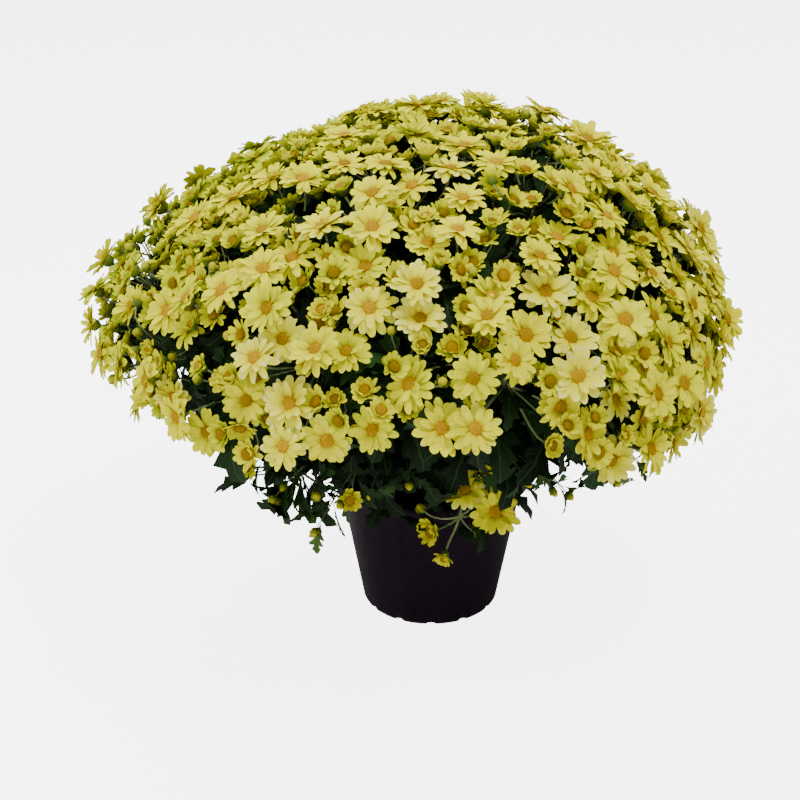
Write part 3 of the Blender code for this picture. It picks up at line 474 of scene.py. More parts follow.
# Swellings and hollows of the dome: azimuth, angle from straight up, height, spread in degrees
DOME_SWELLS = ((96, 70, 10 * MM, 22), (82, 99, -17 * MM, 13), (-98, 80, 25 * MM, 22),
               (-80, 34, -15 * MM, 24), (66, 27, 20 * MM, 26), (150, 60, 12 * MM, 28),
               (-150, 70, 12 * MM, 26), (0, 60, 6 * MM, 25))
# Dark gaps that the heads leave open: azimuth, angle from straight up, radius
DOME_GAPS = ((17, 80, 31 * MM), (20, 58, 16 * MM), (-8, 47, 11 * MM), (-36, 60, 11 * MM),
             (140, 70, 24 * MM), (-130, 60, 18 * MM))
# Kinds of head: share of all heads, then least and greatest radius
HEAD_LATTICE = 830
HEAD_LATTICE_JITTER = 0.035
HEAD_KINDS = {"open": (0.58, 19 * MM, 23.5 * MM), "cup": (0.27, 11.5 * MM, 15.5 * MM),
              "bud": (0.15, 4.4 * MM, 6.0 * MM)}
HEAD_LAYERS = (0.0, 16 * MM)
LAYER_UNEVENNESS = 3 * MM
CUP_SINK = 3 * MM
HEAD_CLEARANCE = 1.0 * MM
HEAD_TUCK = 4 * MM
SPREAD_ROUNDS = 120
SPREAD_STEP = 0.35
SPREAD_GAP_MARGIN = 14 * MM
FACING_LIFT = np.array([0.0, 0.0, 0.22])
FACING_SCATTER = 0.13
CUPPING_LEAST = -2.5 * MM
CUPPING_MOST = 3 * MM
SPRAY_LATTICE = 80
SPRAY_LATTICE_JITTER = 0.02
SPRAY_HEADS_MAX = 13
SPRAY_ROUNDS = 14
SPRAY_DEPTH = 62 * MM
SPRAY_SKIN_DEPTH = 8 * MM
# Degrees that a spray's middle keeps above the dome's lower edge, at first and once it has its heads
SPRAY_FIRST_MARGIN = 4.0
SPRAY_MARGIN = 7.0
# A spray's axis: shares of the dome's normal and of straight up
SPRAY_AXIS_OUT = 0.75
SPRAY_AXIS_UP = 0.35


def direction_of(azimuth, polar):
    """Unit vector at an azimuth right of the front and an angle from straight up, in degrees."""
    azimuth = np.radians(azimuth)
    polar = np.radians(polar)
    flat = np.sin(polar)
    return np.stack([flat * np.sin(azimuth), -flat * np.cos(azimuth), np.cos(polar)], axis=-1)


def edge_polar(directions):
    """The dome's lower edge, as an angle from straight up, for unit directions."""
    azimuth = np.degrees(np.arctan2(directions[:, 0], -directions[:, 1]))
    return np.interp(azimuth, DOME_EDGE[:, 0], DOME_EDGE[:, 1])


def dome_axes(directions):
    """Half axes of the dome for unit directions: it drops less below its widest ring than it rises."""
    axes = np.full((len(directions), 3), DOME_HALF_WIDTH)
    axes[:, 2] = np.where(directions[:, 2] > 0.0, DOME_RISE, DOME_DROP)
    return axes


def dome_point(directions, depth):
    """Points a depth under the dome's skin, with the skin's outward normals."""
    axes = dome_axes(directions)
    swell = np.zeros(len(directions))
    for azimuth, polar, height, spread in DOME_SWELLS:
        apart = np.degrees(np.arccos(np.clip(directions @ direction_of(azimuth, polar), -1.0, 1.0)))
        swell += height * np.exp(-(apart / spread) ** 2)
    normals = unit(directions / axes)
    points = DOME_CENTRE + directions * axes + normals * (swell - depth)[:, None]
    return points, normals


def dome_direction(points):
    """Unit directions of points near the dome's skin."""
    offset = points - DOME_CENTRE
    return unit(offset / dome_axes(offset))


def hold_above_edge(directions, margin):
    """Lifts directions that lie below the dome's lower edge, less a margin in degrees, up to it."""
    azimuth = np.arctan2(directions[:, 0], -directions[:, 1])
    polar = np.arccos(np.clip(directions[:, 2], -1.0, 1.0))
    polar = np.minimum(polar, np.radians(edge_polar(directions) - margin))
    return direction_of(np.degrees(azimuth), np.degrees(polar))


def lattice(count, margin, random, jitter):
    """A Fibonacci lattice on the sphere, jittered, of which the points above the dome's edge are kept."""
    number = np.arange(count) + 0.5
    height = 1.0 - 2.0 * number / count
    angle = number * math.pi * (3.0 - math.sqrt(5.0))
    flat = np.sqrt(1.0 - height ** 2)
    points = np.stack([flat * np.cos(angle), flat * np.sin(angle), height], axis=1)
    points = unit(points + random.normal(0.0, jitter, points.shape))
    polar = np.degrees(np.arccos(points[:, 2]))
    return points[polar < edge_polar(points) - margin]


def spread_apart(directions, depth, needed, margin, rounds, blocked):
    """Moves points on the dome until each pair is as far apart as the matrix needed says."""
    for _ in range(rounds):
        points, _ = dome_point(directions, depth)
        apart = points[:, None, :] - points[None, :, :]
        distance = np.linalg.norm(apart, axis=2) + np.eye(len(points))
        short = np.clip(needed - distance, 0.0, None)
        np.fill_diagonal(short, 0.0)
        shift = (apart / distance[:, :, None] * short[:, :, None]).sum(axis=1) * SPREAD_STEP
        for azimuth, polar, radius in blocked:
            centre, _ = dome_point(direction_of(azimuth, polar)[None, :], np.zeros(1))
            away = points - centre
            reach = np.linalg.norm(away, axis=1)
            shift += away / reach[:, None] * np.clip(radius + SPREAD_GAP_MARGIN - reach, 0.0, None)[:, None]
        base = DOME_CENTRE + directions * dome_axes(directions)
        directions = hold_above_edge(dome_direction(base + shift), margin)
    return directions


class Heads:
    """Flower heads as arrays: kind, place, facing, radius and cupping, one row for each head."""

    def __init__(self, kind, place, facing, radius, cupping):
        self.kind = np.array(kind)
        self.place = np.array(place, dtype=float)
        self.facing = unit(np.array(facing, dtype=float))
        self.radius = np.array(radius, dtype=float)
        self.cupping = np.array(cupping, dtype=float)

    def only(self, chosen):
        """The heads that a mask or a list of numbers chooses."""
        return Heads(self.kind[chosen], self.place[chosen], self.facing[chosen], self.radius[chosen],
                     self.cupping[chosen])

    def joined(self, more):
        """These heads and more."""
        return Heads(*(np.concatenate([getattr(self, name), getattr(more, name)])
                       for name in ("kind", "place", "facing", "radius", "cupping")))


def dome_heads(random):
    """Flower heads over the whole dome, spread until they clear each other in two layers."""
    directions = lattice(HEAD_LATTICE, 0.0, random, HEAD_LATTICE_JITTER)
    count = len(directions)
    draw = random.random(count)
    opened = HEAD_KINDS["open"][0]
    cupped = opened + HEAD_KINDS["cup"][0]
    kinds = np.where(draw < opened, "open", np.where(draw < cupped, "cup", "bud"))
    radii = np.array([random.uniform(*HEAD_KINDS[kind][1:]) for kind in kinds])
    layer = random.integers(0, len(HEAD_LAYERS), count)
    depth = np.array(HEAD_LAYERS)[layer] + random.uniform(-LAYER_UNEVENNESS, LAYER_UNEVENNESS, count)
    depth += np.where(kinds == "cup", CUP_SINK, 0.0)
    same = layer[:, None] == layer[None, :]
    lower = np.where(layer[:, None] > layer[None, :], radii[:, None], radii[None, :])
    beside = np.hypot(lower + HEAD_TUCK, depth[:, None] - depth[None, :])
    needed = np.where(same, radii[:, None] + radii[None, :] + HEAD_CLEARANCE, beside)
    directions = spread_apart(directions, depth, needed, 0.0, SPREAD_ROUNDS, DOME_GAPS)
    places, normals = dome_point(directions, depth)
    facings = []
    cuppings = []
    for normal in normals:
        facings.append(normal + FACING_LIFT + random.normal(0.0, FACING_SCATTER, 3))
        cuppings.append(random.uniform(CUPPING_LEAST, CUPPING_MOST))
    return Heads(kinds, places, facings, radii, cuppings)


class Spray:
    """Heads whose stalks meet at one knot, the tip of a branch."""

    def __init__(self, name, hub, axis, heads):
        self.name = name
        self.hub = np.array(hub, dtype=float)
        self.axis = unit(np.array(axis, dtype=float))
        self.heads = heads


def dome_sprays(random, heads):
    """Gathers the dome's heads into sprays of like size, each round a knot under its own heads."""
    directions = lattice(SPRAY_LATTICE, SPRAY_FIRST_MARGIN, random, SPRAY_LATTICE_JITTER)
    for _ in range(SPRAY_ROUNDS):
        skin, _ = dome_point(directions, np.full(len(directions), SPRAY_SKIN_DEPTH))
        reach = np.linalg.norm(skin[None, :, :] - heads.place[:, None, :], axis=2)
        groups = [[] for _ in directions]
        for number in np.argsort(reach.min(axis=1)):
            nearest = np.argsort(reach[number])
            with_room = [group for group in nearest if len(groups[group]) < SPRAY_HEADS_MAX]
            groups[with_room[0]].append(number)
        middles = np.array([heads.place[group].mean(axis=0) for group in groups])
        directions = hold_above_edge(dome_direction(middles), SPRAY_MARGIN)
    hubs, normals = dome_point(directions, np.full(len(directions), SPRAY_DEPTH))
    axes = normals * SPRAY_AXIS_OUT + UP * SPRAY_AXIS_UP
    return [Spray(f"spray_{number + 1:02d}", hub, axis, heads.only(group))
            for number, (hub, axis, group) in enumerate(zip(hubs, axes, groups))]


def low_sprays():
    """The spray that hangs over the pot's front, and the sparse one at its lower left."""
    front = (("open", (60, -137, 165), (0.25, -1.0, 0.25), 23, 0),
             ("open", (30, -133, 187), (-0.25, -1.0, 0.85), 20, 3),
             ("cup", (58, -136, 212), (0.2, -0.6, 1.0), 17, 0),
             ("cup", (-4, -133, 140), (-1.0, -0.7, 0.1), 16, 0),
             ("cup", (10, -134, 110), (-0.3, -0.8, -0.6), 12, 0),
             ("bud", (-12, -128, 164), (-0.8, -0.3, 0.9), 5.4, 0),
             ("bud", (46, -128, 134), (0.6, -0.6, -0.2), 5.4, 0))
    left = (("cup", (-80, -166, 190), (0.3, -1.0, 0.2), 13, 0),
            ("bud", (-112, -170, 196), (-0.1, -1.0, 0.4), 5.4, 0),
            ("bud", (-150, -166, 188), (-0.6, -0.8, 0.1), 5.4, 0),
            ("cup", (-178, -160, 222), (-0.7, -0.8, 0.4), 14, 0),
            ("bud", (-186, -130, 196), (-1.0, -0.4, 0.1), 5.0, 0))
    found = []
    for name, hub, axis, rows in (("spray_front_low", (26, -125, 154), (0.0, -0.8, -0.6), front),
                                  ("spray_left_low", (-128, -128, 205), (-0.6, -0.8, -0.15), left)):
        kinds, places, facings, radii, cuppings = zip(*rows)
        heads = Heads(kinds, np.array(places) * MM, facings, np.array(radii) * MM, np.array(cuppings) * MM)
        found.append(Spray(name, np.array(hub) * MM, axis, heads))
    return found


placing = np.random.default_rng(SEED)
sprays = dome_sprays(placing, dome_heads(placing)) + low_sprays()
growing = np.random.default_rng(SEED + 1)

# Small young heads, half hidden between the others, which the solids leave out: darts thrown at the dome,
# most that are kept, their depth under its skin and their radius
YOUNG_DARTS = 9000
YOUNG_MOST = 390
YOUNG_DEPTHS = (5 * MM, 21 * MM)
YOUNG_RADII = (11 * MM, 15 * MM)
# Room that they keep: a share of each other head's radius and a clearance on top, a distance from each other,
# and margins off the dark gaps and, in degrees, off the dome's lower edge
YOUNG_REACH = 0.72
YOUNG_CLEARANCE = 3 * MM
YOUNG_APART = 16.5 * MM
YOUNG_GAP_MARGIN = 5 * MM
YOUNG_EDGE_MARGIN = 3.0
YOUNG_SCATTER = 0.38


def young_heads(random):
    """Throws darts at the dome, keeps each that clears the heads, the dark gaps and the darts before it, and
    gives it to the nearest spray."""
    heads = [spray.heads for spray in sprays]
    places = np.concatenate([each.place for each in heads])
    needed = np.concatenate([each.radius for each in heads]) * YOUNG_REACH + YOUNG_CLEARANCE
    darts = unit(random.normal(0.0, 1.0, (YOUNG_DARTS, 3)))
    depths = random.uniform(*YOUNG_DEPTHS, YOUNG_DARTS)
    polar = np.degrees(np.arccos(darts[:, 2]))
    spots, normals = dome_point(darts, depths)
    clear = polar < edge_polar(darts) - YOUNG_EDGE_MARGIN
    clear &= (np.linalg.norm(spots[:, None] - places, axis=-1) > needed).all(axis=1)
    for azimuth, polar, radius in DOME_GAPS:
        centre, _ = dome_point(direction_of(azimuth, polar)[None, :], np.zeros(1))
        clear &= np.linalg.norm(spots - centre, axis=-1) > radius + YOUNG_GAP_MARGIN
    kept = []
    for number in np.nonzero(clear)[0]:
        if len(kept) < YOUNG_MOST and all(np.linalg.norm(spots[number] - spots[other]) > YOUNG_APART
                                          for other in kept):
            kept.append(number)
    facings = normals[kept] + FACING_LIFT + random.normal(0.0, YOUNG_SCATTER, (len(kept), 3))
    young = Heads(["young"] * len(kept), spots[kept], facings, random.uniform(*YOUNG_RADII, len(kept)),
                  np.zeros(len(kept)))
    hubs = np.array([spray.hub for spray in sprays])
    owner = np.linalg.norm(young.place[:, None] - hubs, axis=-1).argmin(axis=1)
    return [young.only(owner == number) for number in range(len(sprays))]


# Flower stalks, calyxes and buds
# Each head sits on its own pale, softly bent stalk, in a green cup of overlapping bracts. A bud is the same
# cup closed over the first yellow petal tips. Stalks leave the knot at the branch tip.

STALK_RADIUS = 1.15 * MM
STALK_SIDES = 5
STALK_STATIONS = 7
# Shares of the radius at the knot and at the head, and of both under a bud or a young head
STALK_TAPER = (1.25, 0.95)
SMALL_STALK_SHARE = 0.75
STALK_TONES = (0.2, 1.0)
# A stalk leaves its knot along these shares of the spray's axis and of the way to its head, summed
STALK_AXIS_SHARE = 0.5
STALK_HEAD_SHARE = 0.8
STALK_BEND = 0.36
# How far a tube's end points stand out, as a share of its radius
TUBE_END = 0.4
CALYX_DROP = {"open": 9.5 * MM, "cup": 12 * MM, "young": 8 * MM, "bud": 6 * MM}
# Widest radius of the calyx, or of the whole bud, as a share of the head's radius
CALYX_WIDTH = {"open": 0.33, "cup": 0.42, "young": 0.42, "bud": 0.86}
# How far the middle of its foot stands out
CALYX_POINT = 0.2 * MM
# Calyx outline as shares: height up to the petals, radius of its widest ring
CALYX_OUTLINE = np.array(((0.0, 0.17), (0.10, 0.36), (0.32, 0.74), (0.58, 0.96), (0.82, 1.0), (0.96, 0.86)))
BUD_OUTLINE = np.array(((0.0, 0.22), (0.10, 0.58), (0.26, 0.90), (0.45, 1.0), (0.62, 0.95), (0.78, 0.74),
                        (0.92, 0.40)))
# Kinds of head whose calyxes are alike, with the outline, sides, ruffle, and least and greatest tone
CALYXES = ((("open", "cup"), CALYX_OUTLINE, 10, 0.06, (0.0, 0.25)),
           (("young",), CALYX_OUTLINE[1::2], 6, 0.06, (0.0, 0.25)),
           (("bud",), BUD_OUTLINE, 10, 0.07, (0.5, 1.0)))


def stalk_green():
    """Pale whitish green skin, mottled, with fine hairs."""
    material, tree = new_material("stalk_green")
    _, _, tone = grown(tree)
    pale = mix(tree, tone, (0.11, 0.18, 0.05), (0.38, 0.44, 0.20))
    skin = mix(tree, mottle(tree, scale=90.0, fine=0.6, high=0.5), pale, (0.05, 0.10, 0.02))
    hairs = bump(tree, mottle(tree, scale=800.0, fine=0.6), strength=0.5, distance=0.3 * MM)
    return dressed(material, skin, hairs, roughness=0.6, gloss=0.2)


def calyx_green():
    """Green bracts with a paler papery edge near the top, yellow where a bud's petals show."""
    material, tree = new_material("calyx_green")
    along, _, tone = grown(tree)
    green = ramp(tree, along, [(0.0, (0.05, 0.10, 0.012)), (0.55, (0.10, 0.17, 0.014)),
                               (0.8, (0.20, 0.26, 0.016)), (1.0, (0.38, 0.40, 0.02))])
    yellow = ramp(tree, along, [(0.0, (0.16, 0.22, 0.012)), (0.45, (0.36, 0.40, 0.008)),
                                (0.7, (0.66, 0.60, 0.004)), (1.0, (0.82, 0.70, 0.004))])
    skin = mix(tree, mottle(tree, scale=240.0, fine=0.5, high=0.35), mix(tree, tone, green, yellow),
               (0.03, 0.07, 0.01))
    scales = bump(tree, mottle(tree, scale=420.0, fine=0.4), strength=0.6, distance=0.5 * MM)
    return dressed(material, skin, scales, roughness=0.55, gloss=0.2)


STALK_GREEN = stalk_green()
CALYX_GREEN = calyx_green()


def square_to(directions):
    """Two unit directions square to each given one and to each other, counter-clockwise about it."""
    least = np.eye(3)[np.argmin(np.abs(directions), axis=-1)]
    first = unit(np.cross(least, directions))
    return first, np.cross(directions, first)


def bent_paths(start, leave, end, arrive, bend, stations):
    """Points of many cubic curves: each leaves its start along leave and comes to its end along arrive. The
    bend is the share of the way between its ends for which it keeps to either."""
    span = np.linalg.norm(end - start, axis=-1, keepdims=True) * bend
    t = np.linspace(0.0, 1.0, stations)[:, None]
    corners = (start, start + leave * span, end - arrive * span, end)
    weights = ((1 - t) ** 3, 3 * t * (1 - t) ** 2, 3 * t * t * (1 - t), t ** 3)
    return sum(corner[:, None] * weight for corner, weight in zip(corners, weights))


def tubes(paths, radius, taper, sides, tone):
    """Round closed tubes along many paths at once. The radius runs from the first share of the taper to the
    last, and each ring is square to the path, turned as the chord between the path's ends says."""
    radii = np.broadcast_to(np.linspace(*taper, paths.shape[1]) * radius, paths.shape[:2])
    ahead = unit(np.gradient(paths, axis=1))
    chord = unit(paths[:, -1] - paths[:, 0])
    first, _ = square_to(chord)
    first = unit(first[:, None] - ahead * (first[:, None] * ahead).sum(-1, keepdims=True))
    second = np.cross(ahead, first)
    angle = math.tau * np.arange(sides) / sides
    around = first[:, :, None] * np.cos(angle)[:, None] + second[:, :, None] * np.sin(angle)[:, None]
    rings = paths[:, :, None] + around * radii[:, :, None, None]
    start = paths[:, 0] - ahead[:, 0] * radii[:, :1] * TUBE_END
    end = paths[:, -1] + ahead[:, -1] * radii[:, -1:] * TUBE_END
    return closed(rings, start, end, np.linspace(0, 1, paths.shape[1]), angle / math.pi - 1.0, tone)


def calyxes(place, facing, drop, width, outline, sides, ruffle, tone):
    """Turned cups on many axes: each outline point is a ring at a share of the drop and of the width, and
    every other side stands out by the ruffle, as overlapping bracts do."""
    first, second = square_to(facing)
    angle = math.tau * np.arange(sides) / sides
    around = first[:, None] * np.cos(angle)[:, None] + second[:, None] * np.sin(angle)[:, None]
    odd = (np.arange(sides) + np.arange(len(outline))[:, None]) % 2
    uneven = 1.0 + ruffle * np.where(odd, 1.0, -1.0)
    base = place - facing * drop[:, None]
    rise = base[:, None] + facing[:, None] * (drop[:, None] * outline[:, 0])[..., None]
    wide = width[:, None, None] * (outline[:, 1][:, None] * uneven)[None]
    rings = rise[:, :, None] + around[:, None] * wide[..., None]
    return closed(rings, base - facing * CALYX_POINT, place, outline[:, 0], angle / math.pi - 1.0, tone)


def stalk_paths(spray, heads):
    """Each stalk leaves the knot between the spray's axis and its own head, and comes in behind the head."""
    drop = np.array([CALYX_DROP[kind] for kind in heads.kind])
    end = heads.place - heads.facing * drop[:, None]
    start = np.broadcast_to(spray.hub, end.shape)
    leave = unit(spray.axis * STALK_AXIS_SHARE + unit(end - start) * STALK_HEAD_SHARE)
    return bent_paths(start, leave, end, heads.facing, STALK_BEND, STALK_STATIONS)


def head_stalks(spray, heads):
    """The stalks of a spray, thinner towards their heads, and thinnest under the small ones."""
    small = np.isin(heads.kind, ("bud", "young"))
    radius = np.where(small, SMALL_STALK_SHARE, 1.0)[:, None] * STALK_RADIUS
    return tubes(stalk_paths(spray, heads), radius, STALK_TAPER, STALK_SIDES,
                 growing.uniform(*STALK_TONES, len(radius)))


def head_calyxes(heads):
    """Green cups under the heads, and whole buds, which also reach above their place by their radius."""
    drop = np.array([CALYX_DROP[kind] for kind in heads.kind])
    width = heads.radius * np.array([CALYX_WIDTH[kind] for kind in heads.kind])
    above = np.where(heads.kind == "bud", heads.radius, 0.0)
    top = heads.place + heads.facing * above[:, None]
    parts = []
    for kinds, outline, sides, ruffle, tones in CALYXES:
        chosen = np.isin(heads.kind, kinds)
        if chosen.any():
            parts.append(calyxes(top[chosen], heads.facing[chosen], (drop + above)[chosen], width[chosen],
                                 outline, sides, ruffle, growing.uniform(*tones, chosen.sum())))
    return parts


# Petals and discs of the heads
# An open bloom has two whorls of thin, round-tipped, lightly channelled petals round a dome of orange-yellow
# florets. A half-open or a young one has shorter petals that still stand up round a small dark disc.

PETAL_STATIONS = np.array((0.0, 0.26, 0.56, 0.82, 0.955, 1.0))
PETAL_WIDTHS = np.array((0.42, 0.80, 1.0, 0.88, 0.48))
# The same with fewer points, for inner whorls and young heads
SMALL_STATIONS = np.array((0.0, 0.45, 0.86, 1.0))
SMALL_WIDTHS = np.array((0.50, 1.0, 0.80))
PETAL_THICKNESS = 0.28 * MM
PETAL_CAMBER = 0.26
# Section of a thin blade, as shares of its half width and of its thickness, counter-clockwise about the way
# to its tip
BLADE_SECTION = np.array(((1.0, 0.0), (0.0, 1.0), (-1.0, 0.0), (0.0, -1.0)))
# Form of a blade: stations, half widths there, section, thickness, camber, and sweep of its edges to the tip
PETAL_FORM = (PETAL_STATIONS, PETAL_WIDTHS, BLADE_SECTION, PETAL_THICKNESS, PETAL_CAMBER, 0.0)
SMALL_FORM = (SMALL_STATIONS, SMALL_WIDTHS, BLADE_SECTION, PETAL_THICKNESS, PETAL_CAMBER, 0.0)
# Whorls of each kind of head: least and most petals, length and half width as shares of the head's radius,
# where it starts, its lift and bend in degrees, its height above the head's place, and its petals' form
WHORLS = {"open": ((14, 17, 0.94, 0.190, 0.21, 4.0, -14.0, 0.0, PETAL_FORM),
                   (10, 13, 0.78, 0.175, 0.19, 18.0, -8.0, 1.1 * MM, SMALL_FORM)),
          "cup": ((12, 14, 0.74, 0.205, 0.33, 26.0, 34.0, -3.5 * MM, PETAL_FORM),
                  (10, 12, 0.56, 0.185, 0.30, 48.0, 34.0, -2.5 * MM, SMALL_FORM)),
          "young": ((14, 17, 0.86, 0.20, 0.28, 22.0, 30.0, -2.0 * MM, SMALL_FORM),),
          "bud": ((6, 7, 2.05, 0.46, 0.08, 22.0, 116.0, -5.6 * MM, PETAL_FORM),)}
# Scatter of a petal's place round the head and twist, in radians, of its lift and bend, in degrees, of its
# tone, of its whole bloom's bend and of each head's nod. Then least and greatest shares of its size
PETAL_PLACE_SCATTER = 0.07
PETAL_LIFT_SCATTER = 10.0
PETAL_BEND_SCATTER = 14.0
PETAL_TONE_SCATTER = 0.07
PETAL_TWIST_SCATTER = 0.34
BLOOM_BEND_SCATTER = 13.0
HEAD_NOD = 0.13
PETAL_LENGTHS = (0.88, 1.08)
PETAL_HALF_WIDTHS = (0.86, 1.12)
DISC_SHARES = {"open": 0.31, "cup": 0.40, "young": 0.40}
DISC_DROPS = {"open": 0.5 * MM, "cup": 2.5 * MM, "young": 1.5 * MM}
DISC_CROWN = 4.4 * MM
DISC_SIDES = 12
SMALL_DISC_SIDES = 8
DISC_RUFFLE = 0.035
DISC_OUTLINE = np.array(((0.0, 0.86), (0.30, 1.0), (0.60, 0.92), (0.84, 0.66), (0.95, 0.36)))
# Least and greatest tone of petals and of discs: green when young, deep yellow, then cream when old
PETAL_TONES = {"open": (0.22, 1.0), "cup": (0.12, 0.62), "young": (0.05, 0.50)}
DISC_TONES = {"open": (0.30, 1.0), "cup": (0.0, 0.7), "young": (0.0, 0.5)}
# Petals are greener with a tone below the first of these, and creamier above the second
GREEN_TONE = 0.42
CREAM_TONE = 0.66
# Painted shade: the side of the plant away from the key light, at its upper left and back, and how far the
# petals' tone is lowered there, which paints them greener
PAINTED_SHADE_SIDE = np.array((-0.6, 0.5, 0.45))
PAINTED_SHADE_TONE = 0.50


def streaks_group():
    """Noise drawn out lengthwise over a piece's own place. The input Stretch says how fine it is across and
    along, and how far apart two tones are."""
    group = new_group("streaks", {"Stretch": (1.0, 1.0, 1.0), "Scale": 1.0, "Detail": 2.0})
    given = node(group, "NodeGroupInput").outputs
    along, across, tone = grown(group)
    place = node(group, "ShaderNodeCombineXYZ", {0: across, 1: along, 2: tone}).outputs[0]
    drawn = node(group, "ShaderNodeMapping", {"Vector": place, "Scale": given["Stretch"]}).outputs[0]
    node(group, "NodeGroupOutput", {"Mask": noise(group, drawn, given["Scale"], given["Detail"])})
    return group


STREAKS = streaks_group()


def streaks(tree, stretch, scale, detail):
    """The mask of one streaks node with its own values."""
    own = {"Stretch": stretch, "Scale": scale, "Detail": detail}
    return node(tree, "ShaderNodeGroup", own, node_tree=STREAKS).outputs["Mask"]


def petal_yellow():
    """Lemon petals: deeper at the root, cream at the tip, greener or paler from bloom to bloom, and greener
    still where painted shade lowers their tone, with fine lengthwise veins in colour and bump."""
    material, tree = new_material("petal_yellow")
    along, _, tone = grown(tree)
    lemon = ramp(tree, along, [(0.0, (0.74, 0.54, 0.0)), (0.25, (0.86, 0.79, 0.0)),
                               (0.70, (0.91, 0.88, 0.0)), (0.90, (0.93, 0.91, 0.01)),
                               (1.0, (0.95, 0.93, 0.14))])
    green = ramp(tree, along, [(0.0, (0.36, 0.44, 0.0)), (0.5, (0.57, 0.66, 0.0)),
                               (1.0, (0.80, 0.84, 0.01))])
    cream = ramp(tree, along, [(0.0, (0.84, 0.70, 0.0)), (0.35, (0.93, 0.86, 0.02)),
                               (0.75, (0.95, 0.91, 0.10)), (1.0, (0.96, 0.94, 0.34))])
    # The green mix also carries painted shade, through the tone lowered on the plant's upper left and back
    young = rescaled(tree, tone, 0.0, GREEN_TONE, 1.0, 0.0)
    old = rescaled(tree, tone, CREAM_TONE, 1.0)
    shade = mix(tree, old, mix(tree, young, lemon, green), cream)
    veins = streaks(tree, (5.0, 0.8, 60.0), scale=1.6, detail=2.0)
    veined = mix(tree, rescaled(tree, veins, 0.45, 0.75, 0.0, 0.35), shade, (0.62, 0.56, 0.0))
    return dressed(material, veined, bump(tree, veins, strength=0.5, distance=0.6 * MM),
                   roughness=0.6, gloss=0.04)


def disc_orange():
    """Orange-yellow florets, olive-brown in young or shaded heads, each floret a round bump."""
    material, tree = new_material("disc_orange")
    along, _, tone = grown(tree)
    place = node(tree, "ShaderNodeTexCoord").outputs["Object"]
    florets = node(tree, "ShaderNodeTexVoronoi", {"Vector": place, "Scale": 900.0}).outputs["Distance"]
    ripe = ramp(tree, along, [(0.0, (0.40, 0.17, 0.0)), (0.55, (0.66, 0.32, 0.0)),
                              (0.85, (0.72, 0.40, 0.0)), (1.0, (0.58, 0.36, 0.0))])
    young = ramp(tree, along, [(0.0, (0.16, 0.11, 0.0)), (0.6, (0.24, 0.18, 0.0)),
                               (1.0, (0.16, 0.14, 0.0))])
    seams = mix(tree, rescaled(tree, florets, 0.25, 0.75, 0.0, 0.6), mix(tree, tone, young, ripe),
                (0.30, 0.12, 0.002))
    domes = bump(tree, florets, strength=0.8, distance=0.6 * MM, invert=True)
    return dressed(material, seams, domes, roughness=0.7, gloss=0.1)


PETAL_YELLOW = petal_yellow()
DISC_ORANGE = disc_orange()


def blades(root, ahead, facing, length, half, lift, bend, twist, tone, form):
    """Closed thin blades, all at once. The mid-line starts at lift above ahead and turns by bend times the
    square of the way along, in the plane of ahead and facing. Each ring is the section, as wide as the
    form's width there, turned by twist times the way along. Its edges are raised by the camber and moved
    towards the tip by the sweep, both times their distance from the mid-line."""
    stations, widths, section, thickness, camber, sweep = form
    angle = lift[:, None] + bend[:, None] * stations ** 2
    step = np.diff(stations) * length[:, None]
    middle = (angle[:, 1:] + angle[:, :-1]) / 2
    nothing = np.zeros((len(root), 1))
    out = np.concatenate([nothing, np.cumsum(step * np.cos(middle), axis=1)], axis=1)
    rise = np.concatenate([nothing, np.cumsum(step * np.sin(middle), axis=1)], axis=1)
    line = root[:, None] + ahead[:, None] * out[..., None] + facing[:, None] * rise[..., None]
    way = ahead[:, None] * np.cos(angle)[..., None] + facing[:, None] * np.sin(angle)[..., None]
    over = facing[:, None] * np.cos(angle)[..., None] - ahead[:, None] * np.sin(angle)[..., None]
    side = np.cross(facing, ahead)[:, None]
    turn = (twist[:, None] * stations)[..., None]
    across = side * np.cos(turn) + over * np.sin(turn)
    over = over * np.cos(turn) - side * np.sin(turn)
    wide = (half[:, None] * widths)[..., None] * section[:, 0]
    high = thickness * section[:, 1] + camber * np.abs(wide) * np.abs(section[:, 0])
    forth = sweep * np.abs(wide)
    rings = (line[:, :-1, None] + across[:, :-1, None] * wide[..., None]
             + over[:, :-1, None] * high[..., None] + way[:, :-1, None] * forth[..., None])
    return closed(rings, line[:, 0], line[:, -1], stations[:-1], section[:, 0], tone)


def whorl(heads, tone, low, high, length, half, root, lift, bend, height, form):
    """One whorl of petals on each head, evenly round it but for small differences of each petal's own."""
    number = growing.integers(low, high + 1, len(heads.kind))
    owner = np.repeat(np.arange(len(heads.kind)), number)
    count = len(owner)
    order = np.arange(count) - np.repeat(np.cumsum(number) - number, number)
    spin = growing.uniform(0.0, math.tau, len(heads.kind))
    angle = math.tau * order / number[owner] + spin[owner] + growing.normal(0.0, PETAL_PLACE_SCATTER, count)
    first, second = square_to(heads.facing)
    ahead = first[owner] * np.cos(angle)[:, None] + second[owner] * np.sin(angle)[:, None]
    facing = heads.facing[owner]
    radius = heads.radius[owner]
    slope = heads.cupping[owner] / radius
    raised = np.radians(lift + growing.normal(0.0, PETAL_LIFT_SCATTER, count)) + slope
    bloom_bend = growing.normal(0.0, BLOOM_BEND_SCATTER, len(heads.kind))
    curved = np.radians(bend + bloom_bend[owner] + growing.normal(0.0, PETAL_BEND_SCATTER, count))
    own = np.clip(tone[owner] + growing.normal(0.0, PETAL_TONE_SCATTER, count), 0.0, 1.0)
    lengths = radius * length * growing.uniform(*PETAL_LENGTHS, count)
    halves = radius * half * growing.uniform(*PETAL_HALF_WIDTHS, count)
    twist = growing.normal(0.0, PETAL_TWIST_SCATTER, count)
    roots = heads.place[owner] + ahead * (radius * root)[:, None] + facing * height
    return blades(roots, ahead, facing, lengths, halves, raised, curved, twist, own, form)


